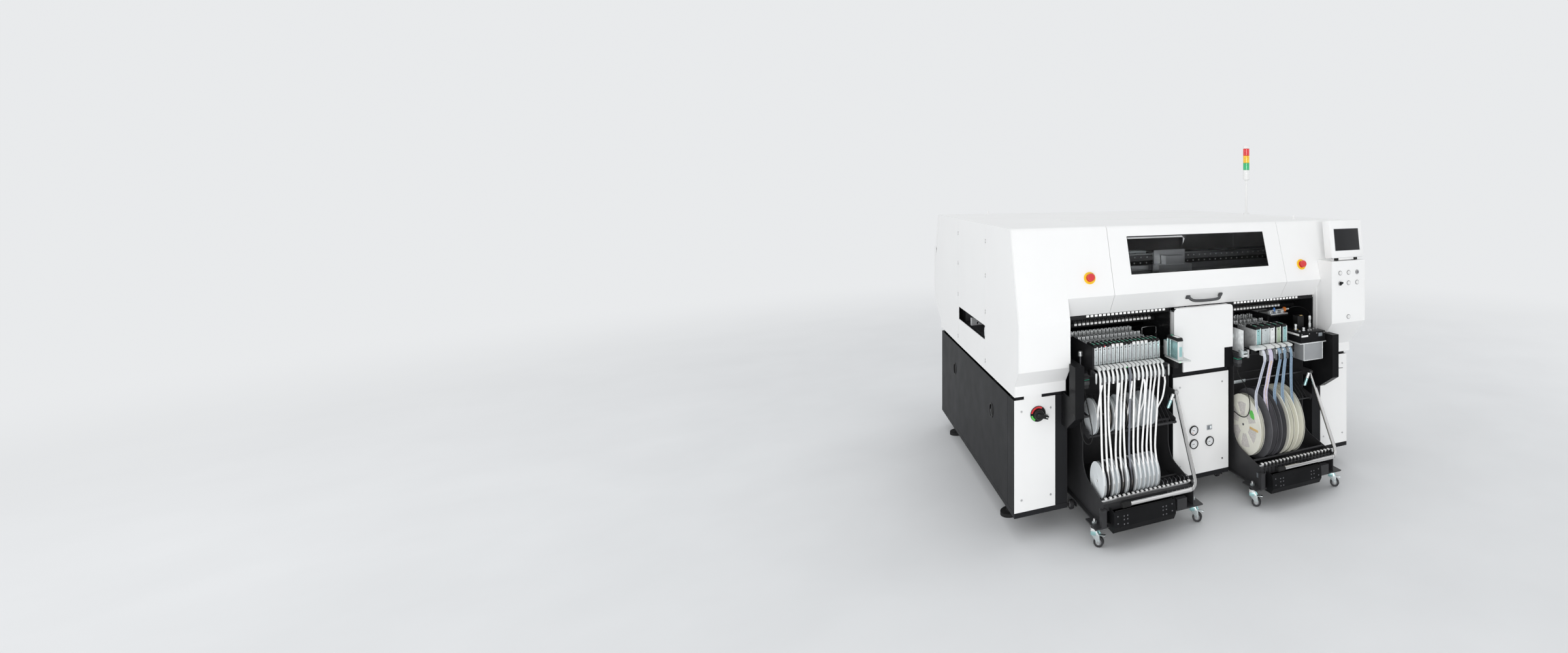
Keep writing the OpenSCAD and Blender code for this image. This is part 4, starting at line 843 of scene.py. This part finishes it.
def feeder_ledge(piece, x, w, clip):
    """Tape ledge with its blank card and divider, and the moulded clip that holds the tape below it."""
    half = w / 2 - 0.4
    piece.prism(LEDGE, span(x, half), PALE_LEDGE, 0.8)
    piece.prism(LEDGE_CARD, (x - half + 3, x + half - 2), WHITE_PLASTIC)
    piece.prism(LEDGE_DIVIDER, (x + half - 0.5, x + half + 0.8), DARK_PLASTIC, 0.3)
    piece.box((x + half - 6, x + half - 1), (-153, -149), (806.8, 811), BLACK_PLASTIC, 0.4)
    left, right = x + clip[0], x + clip[1]
    arm = [(-98, 806.4), (-118, 803), (-140, 788), (-155, 768), (-155, 752), (-161, 752), (-162, 772),
           (-148, 800), (-134, 806.4)]
    piece.prism(arm, (left + 2, right - 2), DARK_PLASTIC, 1)
    plate = [(-130, 806.4), (-150, 804), (-168, 780), (-172, 756), (-160, 752), (-140, 786)]
    piece.prism(plate, (left - 1.6, left - 0.6), ZINC, 0.2)
    jaw = [(-174.5, 752), (-174, 772), (-169, 778), (-160, 776), (-159, 750), (-165, 745), (-171, 745.5)]
    piece.prism(jaw, (left, right), DARK_PLASTIC, 1.8)


def under_ledge(x):
    """Route of a tape from under the front edge of its ledge past the clip to where it hangs free."""
    return [(x, -138, 808), (x, -150, 803), (x, -160, 790), (x, -165, 774), (x, -167, 758), (x, *CHUTE_TIP)]


def make_feeders_left():
    count, w = 16, SLOT_PITCH - 2.5
    piece = Piece(CARTS["left"])
    for i in range(count):
        x = slot_x(i)
        feeder_rear(piece, x, w)
        feeder_head(piece, x, w, ZINC, i in TAGGED)
        feeder_ledge(piece, x, w, (2.2, 9.6))
    piece.rod((slot_x(2), FEEDER_FRONT + 1, 913), (slot_x(2), FEEDER_FRONT - 1.5, 913), 2.2, LAMP_RED, 16)
    piece.rod((slot_x(6) + 6, -151, 810), (slot_x(6) + 6, -154, 810), 1.8, LAMP_GREEN, 16)
    piece.done("tape_feeders_left", "left_cart", "fittings", "feeders_left")


def make_drawn_feeder():
    """Wider feeder that stands part way out of its slot, on a flat ledge of its own."""
    piece = Piece(CARTS["left"])
    x = (182, 214)
    piece.box((x[0] + 4, x[1] - 4), (-180, 188), (TABLE_Z + 1, 858), BLACK, 1)
    case = [(-222, 827), (-222, 925), (-106, 925), (-106, 906), (-66, 906), (-66, 827)]
    piece.prism(case, (x[0] + 2, x[1] - 2), TEAL_ZINC, 1)
    side = x[0] + 0.2
    for y in ((-222, -217), (-140, -136), (-110, -105)):
        piece.box((side, side + 3), y, (829, 924), PALE_ZINC, 1)
    for z in ((828, 832), (920, 924.5)):
        piece.box((side, side + 3), (-222, -105), z, PALE_ZINC, 1)
    piece.box((side + 0.4, side + 3), (-103, -68), (829, 905), BRIGHT_ZINC, 1)
    for y, z in ((-138, 846), (-138, 872), (-138, 898), (-107, 840), (-107, 914), (-84, 890), (-84, 842)):
        piece.rod((side + 3, y, z), (side - 0.1, y, z), 2.6, WHITE_PLASTIC, 16)
    piece.box((x[0] + 2, x[1] - 2), (-224, -221), (828, 924), PALE_ZINC, 1)
    piece.box((x[0] + 8, x[1] - 8), (-224.6, -222), (846, 896), TEAL_ZINC, 0.5)
    piece.prism([(-224, 924), (-215, 939.5), (-114, 939.5), (-105, 924)], x, BLACK_PLASTIC, 2)
    piece.box((x[0] + 6, x[1] - 6), (-206, -150), (939, 939.9), WHITE_PLASTIC, 0.3)
    piece.box((x[0] + 10, x[1] - 10), (-140, -124), (939, 939.9), GREEN, 0.2)
    piece.box((x[0], 252), (-236, -80), (818.5, 826), PALE_LEDGE, 1.5)
    piece.rod((x[0] + 6, -235, 822), (x[0] + 6, -237, 822), 1.8, LAMP_GREEN, 16)
    piece.done("drawn_feeder_unit", "sliding_feeder", "fittings", "drawn_feeder")


def boxed_unit(piece):
    """Black feeder unit on a bright flange, its grey motor box below and its air fittings above."""
    piece.box((114.5, 295.5), (-149.5, 9.5), (812, 871.5), SATIN_BLACK, 3)
    piece.box((108.5, 299.5), (-151.5, -0.5), (806.5, 812), BRIGHT_ZINC, 0.8)
    piece.box((136.5, 276.5), (-149, -62.5), (710.5, 806.5), UNIT_GREY, 2)
    for x in ((136.2, 141), (272, 276.8)):
        piece.box(x, (-150, -146), (711, 806.5), BRIGHT_ZINC, 0.8)
    piece.box((136.4, 276.6), (-150, -146), (710.2, 714), BRIGHT_ZINC, 0.8)
    piece.box((100.5, 289.5), (-39.5, 249.5), (TABLE_Z + 1, 839.5), BLACK, 2)
    for x in (124, 178, 232, 286):
        piece.rod((x, -149, 862), (x, -150.4, 862), 2.6, STEEL, 14)
        piece.rod((x, -140, 811.5), (x, -140, 814), 3.2, STEEL, 6)
    piece.box((120, 168), (-150.2, -148), (846, 856), WHITE_PLASTIC, 0.5)
    piece.box((113.9, 115.5), (-136, -20), (852, 863), WHITE_PLASTIC, 0.4)
    piece.box((244, 272), (-150.2, -148), (842, 862), LCD, 0.5)
    piece.box((146, 168), (-64, -44), (871, 872), YELLOW, 0.3)
    piece.box((198.5, 244.5), (-19.5, 27.5), (839, 940), BLACK_PLASTIC, 2)
    piece.box((222, 238), (-16, -4), (939, 943), GOLD, 1)
    shares = ((8.6, 0), (8.6, 0.3), (6, 0.36), (6, 0.6), (8, 0.66), (8, 0.94), (5, 1))
    for x, y, height in ((150, -60, 34), (176, -100, 19), (283, -25, 67)):
        nipple = [(r, height * share) for r, share in shares]
        piece.turned((x, y, 871), UP, nipple, BRIGHT_ZINC, 24)
    for x, y in ((196, -118), (214, -118), (252, -96), (270, -96), (132, -118)):
        piece.rod((x, y, 871), (x, y, 880), 6, STEEL, 6)
    piece.box((70.5, 199.5), (70.5, 199.5), (932.5, 940), BLACK, 1)
    piece.box((72, 198), (72, 198), (939, 947.5), ALUMINIUM, 1.5)
    piece.box((104.5, 123.5), (150.5, 187.5), (839, 933), BLACK, 1.5)
    for x in (86, 128, 170):
        piece.box(span(x, 9), (86, 114), (947, 961), BRIGHT_ZINC, 2)
        piece.rod((x, 84, 954), (x, 76, 954), 4, STEEL, 6)
    piece.rod((76, 100, 962), (192, 100, 966), 6, STEEL, 18)
    piece.turned((116, 100, 957), UP, [(8, 0), (8, 14), (6, 16), (6, 22)], BLUE, 20)
    piece.turned((184, 100, 964), ACROSS, [(10, 0), (14, 2), (14, 12), (11, 15), (5, 17)], ORANGE, 24)
    piece.rod((200, 100, 964), (226, 100, 964), 5, BRIGHT_ZINC, 6)
    hose = [(224, 100, 964), (250, 92, 974), (284, 60, 977), (302, 22, 962), (296, -12, 946),
            (283, -25, 936)]
    piece.tube(smooth_path(hose, 5), 1.8, BLACK_PLASTIC, 8)


def make_feeders_right():
    """Five wide feeders, the boxed unit with its motor box, and the fittings around them."""
    piece = Piece(CARTS["right"])
    plates = (TEAL_ZINC, ZINC, BRIGHT_ZINC, GREEN_ZINC, TEAL_ZINC)
    for (x, w), plate in zip(WIDE_FEEDERS, plates):
        feeder_rear(piece, x, w)
        feeder_head(piece, x, w, plate, False, True)
        feeder_ledge(piece, x, w, (w / 2 - 15, w / 2 - 3))
        piece.box((x - w / 2 + 1, x - w / 2 + 8), (-158, -128), (774, 800), BRIGHT_ZINC, 1.5)
    x, w = WIDE_FEEDERS[0]
    piece.box((x - w / 2, x - w / 2 + 1.4), (-100, 85), (789, 905), BRIGHT_ZINC, 0.5)
    boxed_unit(piece)
    piece.done("tape_feeders_right", "right_cart", "fittings", "feeders_right")


# Reels and tapes

SMALL_R, LARGE_R, WIDE_R = 89, 165, 190
SMALL_WOUND, LARGE_WOUND = 74, 130
LOWER_AT = (-150, 276)
UPPER_AT = (-60, 562)
LARGE_AT = (-75, 385)
REEL_W = 14
FLANGE_T, BEAD = 1.6, 0.7
REEL_PITCH = 24
FIRST_REEL = -221
UPPER_SLOTS = (0, 3, 4, 6, 7, 9, 10, 12, 14)
LARGE_REELS = ((-228, 26), (-172, 40), (-106, 32), (-54, 34), (4, 46))


def lower_reel_x(i):
    return FIRST_REEL + REEL_PITCH * i


def upper_reel_x(i):
    return FIRST_REEL + (REEL_PITCH - 1) * i


def flange(piece, x, at, radius, material, out, windows=None):
    """Flange from x on, with a rim bead and hub ring on its outer side and windows where given."""
    y, z = at
    low = x if out > 0 else x + FLANGE_T
    if windows:
        piece.windowed((x, y, z), radius - 2, FLANGE_T, windows, material)
        rings = [(radius, radius - 6)]
    else:
        piece.ring((low, y, z), (out, 0, 0), radius, REEL_BORE, FLANGE_T, material, 72)
        rings = [(radius, radius - 3), (33, 30), (15, REEL_BORE)]
    for r_out, r_in in rings:
        piece.ring((low, y, z), (out, 0, 0), r_out, r_in, FLANGE_T + BEAD, material, 72)


def reel(piece, x, width, at, radius, wound, material, tape, windows=None):
    y, z = at
    flange(piece, x + BEAD, at, radius, material, -1, windows)
    flange(piece, x + width - FLANGE_T - BEAD, at, radius, material, 1, windows)
    piece.ring((x + 2, y, z), ACROSS, wound, REEL_BORE, width - 4, tape, 72)


def make_small_reels():
    piece = Piece(CARTS["left"])
    dark = (1, 4, 6)
    for i in range(13):
        material = REEL_DARK if i in dark else REEL_WHITE
        reel(piece, lower_reel_x(i) - REEL_W / 2, REEL_W, LOWER_AT, SMALL_R, SMALL_WOUND, material, WOUND)
    piece.done("lower_tape_reels", "lower_reels", "reel_plastic", "reels_left_lower")
    piece = Piece(CARTS["left"])
    for i in UPPER_SLOTS:
        material = REEL_DARK if i in (3, 7) else REEL_WHITE
        reel(piece, upper_reel_x(i) - REEL_W / 2, REEL_W, UPPER_AT, SMALL_R, SMALL_WOUND, material, WOUND)
    piece.done("upper_tape_reels", "upper_reels", "reel_plastic", "reels_left_upper")


def make_large_reels():
    piece = Piece(CARTS["right"])
    materials = (REEL_CREAM, REEL_GREY, REEL_GREY, REEL_CREAM, REEL_CREAM)
    for i, ((x, width), material) in enumerate(zip(LARGE_REELS, materials)):
        radius = WIDE_R if i else LARGE_R
        reel(piece, x, width, LARGE_AT, radius, LARGE_WOUND, material, WOUND_PALE, (50, 122, 6, 0.66))
    y, z = LARGE_AT
    piece.rod((-231, y, z), (53, y, z), 6.2, DARK_STEEL)
    first = LARGE_REELS[0][0]
    patch = [(-96, 52), (-70, 58), (-58, 78), (-66, 96), (-84, 100), (-98, 84), (-104, 66)]
    piece.prism([(y + a, z + b) for a, b in patch], (first + 0.2, first + 2), LABEL_GREEN)
    piece.box((first + 0.2, first + 2), (y - 138, y - 60), (z - 6, z + 7), LABEL_AMBER, 0.2)
    piece.done("large_tape_reels", "large_reels", "reel_plastic", "reels_right")


def hanging_route(x, reel_x, at, wound, behind=0, bow=0, sway=0, in_line=0.7):
    """Tape from a clip to the front of its reel: bowed forwards, and aside until in_line of the way."""
    start = (CHUTE_TIP[0] + behind, CHUTE_TIP[1])
    end = (at[0] - wound - 3, at[1] + 2)
    found = []
    for t in (0, 0.06, 0.2, in_line * 0.64, in_line, 0.85, 1):
        aside = min(1, t / in_line)
        found.append((x + (reel_x - x) * aside + sway * sin(pi * aside),
                      start[0] + (end[0] - start[0]) * t * t - bow * sin(pi * t),
                      start[1] + (end[1] - start[1]) * t))
    return smooth_path(found, 5)


def make_tapes_left():
    """Paper tapes, each over its feeder's ledge and down to a reel of the lower or the upper row."""
    piece = Piece(CARTS["left"])
    to_lower = (0, 1, 2, 4, 5, 6, 7, 8, 10, 11, 12, 13, 14)
    to_upper = (0, 4, 7, 10, 15)
    smoke = 7
    width = 10
    inner, outer = -4.6, 5.2
    for i in range(16):
        route = smooth_path(under_ledge(slot_x(i) + inner), 5)
        piece.ribbon(route, width, SMOKE if i == smoke else PAPER)
    for i, slot in enumerate(to_lower):
        sway = 5 * sin(2.1 * i + 0.6)
        route = hanging_route(slot_x(slot) + inner, lower_reel_x(i), LOWER_AT, SMALL_WOUND, sway=sway)
        piece.ribbon(route, width, SMOKE if slot == smoke else PAPER)
    for i, (slot, sway) in enumerate(zip(to_upper, (-12, -6, -5, 6, 10))):
        reel_x = upper_reel_x(UPPER_SLOTS[2 * i])
        route = hanging_route(slot_x(slot) + outer, reel_x, UPPER_AT, SMALL_WOUND, 2.5, 12, sway, 0.95)
        piece.ribbon(route, width, PAPER)
    piece.done("paper_tapes", "left_cart", "tape", "tapes_left")


def make_tapes_right():
    """Embossed tapes: a pocket at each part, and drive holes along one edge."""
    piece = Piece(CARTS["right"])
    films = (PALE_FILM, VIOLET_FILM, FILM, FILM, FILM)
    for i, ((reel_x, width), film) in enumerate(zip(LARGE_REELS, films)):
        x, w = WIDE_TAPES[i]
        route = hanging_route(x, reel_x + width / 2, LARGE_AT, LARGE_WOUND, in_line=0.5)
        piece.ribbon(smooth_path(under_ledge(x), 5), w, film)
        piece.ribbon(route, w, film)
        line = [Vector(p) for p in route]
        step = 7 if i == 0 else 9
        pocket_finish = GOLD if i == 1 else POCKET
        hole_finish = DARK_PLASTIC if i == 0 else WHITE_PLASTIC
        left = 0.0
        for a, b in zip(line, line[1:]):
            along = (b - a).normalized()
            out = Vector((0, along.z, -along.y)) * 0.7
            while left < (b - a).length:
                middle = a + along * left - out
                pocket = middle + Vector((w * 0.1, 0, 0))
                hole = middle - Vector((w * 0.36, 0, 0))
                piece.strut(pocket - along * 2.4, pocket + along * 2.4, (w * 0.24, 1.0), pocket_finish, 0.5)
                piece.strut(hole - along * 1.2, hole + along * 1.2, (1.2, 0.9), hole_finish)
                left += step
            left -= (b - a).length
    piece.done("embossed_tapes", "right_cart", "tape", "tapes_right")


# Carts

PIVOT = (-50, 612)
HANDLE_X, HANDLE_LOW_X, HANDLE_ARM, HANDLE_BEND, HANDLE_END = 264, 246, 481, 45, -166
HANDLE_LEAN = radians(32)


def make_pull_handles():
    """Chrome tube with an eye, a leaning arm and a bend, and a rubber grip on its end."""
    r = 10.5
    middle = Vector((HANDLE_LOW_X - HANDLE_BEND, HANDLE_BEND - HANDLE_ARM))
    away = Vector((HANDLE_X, 0)) - middle
    lean_in = atan2(away.x, away.y) - asin(HANDLE_BEND / away.length)
    grip = [(4, 0), (10, 1), (12.5, 4), (13, 8), (12.6, 40), (11, 45.5), (10.4, 46)]
    for side in CARTS:
        piece = Piece(place=leaning(CARTS[side], *PIVOT, HANDLE_LEAN))
        path = [(HANDLE_X - h * tan(lean_in), 0, -h) for h in (11, 120, 300)]
        for k in range(10):
            turn = lean_in + (pi / 2 - lean_in) * k / 9
            path.append((middle.x + HANDLE_BEND * cos(turn), 0, middle.y - HANDLE_BEND * sin(turn)))
        piece.tube(path, r, CHROME_ARM, 28)
        piece.rod(path[-1], (HANDLE_END + 40, 0, -HANDLE_ARM), r, CHROME, 28, 0.1)
        piece.ring((HANDLE_X - 10, 0, 0), ACROSS, 14, 5.06, 20, STEEL)
        piece.turned((HANDLE_END, 0, -HANDLE_ARM), ACROSS, grip, RUBBER)
        piece.done("pull_handle_" + side, side + "_pull", "chrome", "handle_" + side)


CASTER_AT = (271, -222)
CASTER_TRAIL = (16, -14)
WHEEL_R = 25


def make_casters():
    turn = atan2(CASTER_TRAIL[1], CASTER_TRAIL[0])
    trail = hypot(*CASTER_TRAIL)
    cheek = [(-13, 81), (14, 81), (trail + 7, 58), (trail + 10, 34), (trail + 8, 20), (trail + 4, 15.5),
             (trail - 4, 15.5), (trail - 9, 22), (trail - 12, 34), (-10, 58)]
    for n in range(1, 5):
        x = CARTS["left" if n < 3 else "right"] + (-1 if n % 2 else 1) * CASTER_AT[0]
        place = Matrix.Translation((x, CASTER_AT[1], 0)) @ Matrix.Rotation(turn, 4, "Z")
        piece = Piece(place=place)
        piece.ring((0, 0, 80), UP, 18, 6.1, 11.4, BRIGHT_ZINC)
        piece.box((-15, 15), (-14, 14), (76, 82), BRIGHT_ZINC, 1.5)
        piece.box((-15, 12), (-14.6, 14.6), (58, 76.5), TEAL_ZINC, 2)
        for y, material in (((-14, -11), ZINC), ((11, 14), TEAL_ZINC)):
            piece.slab(cheek, y, material, 1)
        piece.rod((trail, -14, WHEEL_R), (trail, 14, WHEEL_R), 4, STEEL)
        for y, end in ((-14.2, -17), (14.2, 17)):
            piece.rod((trail, y, WHEEL_R), (trail, end, WHEEL_R), 7, STEEL, 6)
        piece.box((6, trail + 6), (-14, 14), (56, 60), ZINC, 1)
        piece.box((trail + 4, trail + 34), (-9, 9), (56.5, 59.5), ZINC, 1.2)
        piece.done("caster_%d_fork" % n, "fork_%d" % n, "steel", "caster_fork_%d" % n)
        piece = Piece(place=place)
        wheel(piece, (trail, -9, WHEEL_R), (0, 1, 0), 18, 4.1)
        piece.done("caster_%d_wheel" % n, "wheel_%d" % n, "rubber", "caster_wheel_%d" % n)


def wheel(piece, start, axis, width, bore):
    """Tyre with rounded shoulders on a plain hub."""
    tyre = [(15, 2), (18, 0.6), (22, 0.2), (24.4, 1.6), (WHEEL_R, 4)]
    hub = [(bore, 0.5), (8, 0.5), (9, 2.5), (15.2, 2.5)]
    for half, material, sides in ((tyre, TYRE, 48), (hub, HUB_GREY, 32)):
        profile = half + [(r, width - h) for r, h in reversed(half)]
        piece.loop(start, axis, profile, material, sides)


def make_rear_wheels():
    for side in CARTS:
        piece = Piece(CARTS[side])
        for x in (-245, 225):
            wheel(piece, (x, 190, WHEEL_R), ACROSS, 20, 6.1)
        piece.done("rear_wheel_pair_" + side, side + "_rear_wheels", "rubber", "rear_wheels_" + side)


def make_cart_trim(side):
    """Bright and moulded small parts that sit on the black frame of a cart."""
    piece = Piece(CARTS[side])
    left = side == "left"
    first_empty = 13
    piece.box((-245, 237), (-248.5, -246.5), (206.5, 219.5), STEEL, 0.6)
    for i in range(20):
        x = lower_reel_x(i)
        piece.box(span(x, 5.5), (-249, -234.5), (219, 226), WHITE_PLASTIC, 1)
        if not left:
            piece.box((x + 6.4, x + 17.6), (-252, -235), (205, 223), BLACK, 1)
            piece.box(span(x, 2.5), (-263.5, -258), (176, 205), BLACK, 0.8)
        if i < first_empty or not left:
            continue
        loop = [(-238, 214), (-238, 236), (-230, 242), (-210, 243), (-203, 238), (-203, 214)]
        piece.tube(smooth_path([(x, *p) for p in loop], 4), 1.4, DARK_STEEL, 8)
        piece.box((x + 11, x + 12.6), (-264, -261.6), (178, 199), STEEL, 0.3)
    for at_side in (-1, 1):
        x, y = at_side * CASTER_AT[0], CASTER_AT[1]
        thread = [(6.2 + 0.5 * (k % 2), 104 + k) for k in range(28)]
        piece.turned((x, y, 0), UP, [*thread, (5, 133)], STEEL, 20)
        piece.rod((x, y, 110.2), (x, y, 120.4), 12.4, ZINC, 6)
        piece.ring((x, y, 91.8), UP, 17.6, 6.2, 12, BLACK_PLASTIC, 28)
    knurl = [(11.2 + 0.4 * (k % 2), 848 + 1.4 * k) for k in range(17)]
    piece.turned((-249, 20, 0), UP, [(7.4, TABLE_Z), (7.4, 846)], DARK_STEEL, 28)
    piece.turned((-249, 20, 0), UP, [(8, 846), *knurl, (11, 872), (8, 873)], PALE_ZINC, 28)
    piece.rod((240, -70, 614), (226, -69, 582), 8.6, BRIGHT_ZINC, 24, 1.5)
    piece.rod((226, -69, 582), (209, -68, 543), 8.8, TEAL_ZINC, 24, 1.5)
    piece.rod((209, -68, 545), (244, 0, 528), 5.4, STEEL)
    piece.box((-248.2, -246.8), (-262, -228), (152, 176), LCD, 0.3)
    piece.rod((276, *PIVOT), (280, *PIVOT), 9, STEEL, 6)
    piece.box((-264, -236), (-76, -26), (724, 744), DARK_PLASTIC, 2)
    piece.box((-266, -236), (-72, -30), (748, 750), GREEN, 0.4)
    piece.turned((-250, -50, 686), UP, [(2.7, 0), (4.6, 3), (5.6, 20), (7, 22), (7, 40)], RUBBER, 20)
    bar = (-240, 172) if left else (-190, 80)
    piece.box(bar, (-97, -58), (772, 803), BLACK, 1.5)
    if left:
        for x, low in ((162, 738), (-238, 744)):
            piece.box((x, x + 10), (-152, -96), (790, 800), DARK_PLASTIC, 1)
            tongue = [(x, 798), (x + 10, 798), (x + 9, low + 8), (x + 5, low), (x + 1, low + 8)]
            piece.slab(tongue, (-156, -146), PALE_ZINC, 1.2)
        feet = [(x, 150, 893) for x in (164, 251)]
        bracket = [feet[0], (164, 150, 922), (173, 150, 931), (242, 150, 931), (251, 150, 922), feet[1]]
        piece.tube(smooth_path(bracket, 5), 3.4, CHROME, 14)
        for x, y, z in feet:
            piece.box(span(x, 6), span(y, 9), (TABLE_Z, z), BLACK, 1)
    else:
        piece.prism(LEDGE, (-203, -160), PALE_LEDGE, 0.8)
        piece.box((-243, 243), (-4, 1), (600, 608), DARK_STEEL, 1)
        piece.box((-243, -166), (-7, -3), (594, 612), ZINC, 1)
        piece.box((-241, -239.6), (-95, 200), (782, 911), BRIGHT_ZINC, 0.4)
        piece.rod((-258, -92, 788), (-206, -92, 788), 9, ZINC)
        piece.rod((-250, -104, 772), (-212, -104, 772), 7, BRIGHT_ZINC)
        piece.box((-257, -246), (-108, -70), (764, 802), ZINC, 2)
        piece.box((-224, -213), (-112, -70), (760, 806), STEEL, 2)
    piece.done("cart_trim_" + side, side + "_cart", "fittings")


def make_waste_bolts():
    """Button heads on the front of each waste box."""
    low, high = (-330, 118), (-326, 176)
    head = [(3.4, 0), (3.4, 0.3), (2.4, 0.5)]
    for side in CARTS:
        piece = Piece(CARTS[side])
        for x in (-196, -164, -146, 42, 60, 92):
            for t in (0.16, 0.52, 0.8) if abs(x + 52) < 115 else (0.3, 0.86):
                y = low[0] + (high[0] - low[0]) * t
                z = low[1] + (high[1] - low[1]) * t
                piece.turned((x, y + 0.3, z), (0, -1, 0.07), head, DARK_STEEL, 14)
        piece.box((-205, 101), (-312.6, -311.2), (183, 189), BLACK, 0.5)
        piece.done("waste_box_bolts_" + side, side + "_waste", "black_paint")


def make_all():
    """Camera, stage, finishes of the nodes that stay, and every piece."""
    make_camera()
    make_stage()
    make_cord("left", LEFT_ROUTE)
    make_cord("right", RIGHT_ROUTE)
    for material, names in NODE_FINISH.items():
        for name in names:
            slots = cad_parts[name].data.materials
            slots.clear()
            slots.append(material)
    for make in (make_number_strips, make_side_rings, make_tower, make_fittings, make_knobs,
                 make_touch_panel, make_door_details, make_beam_trim, make_feeders_left, make_drawn_feeder,
                 make_feeders_right, make_small_reels, make_large_reels, make_tapes_left, make_tapes_right,
                 make_pull_handles, make_casters, make_rear_wheels, make_waste_bolts):
        make()
    for side in CARTS:
        make_cart_trim(side)


make_all()
bpy.context.scene.view_settings.view_transform = "Standard"
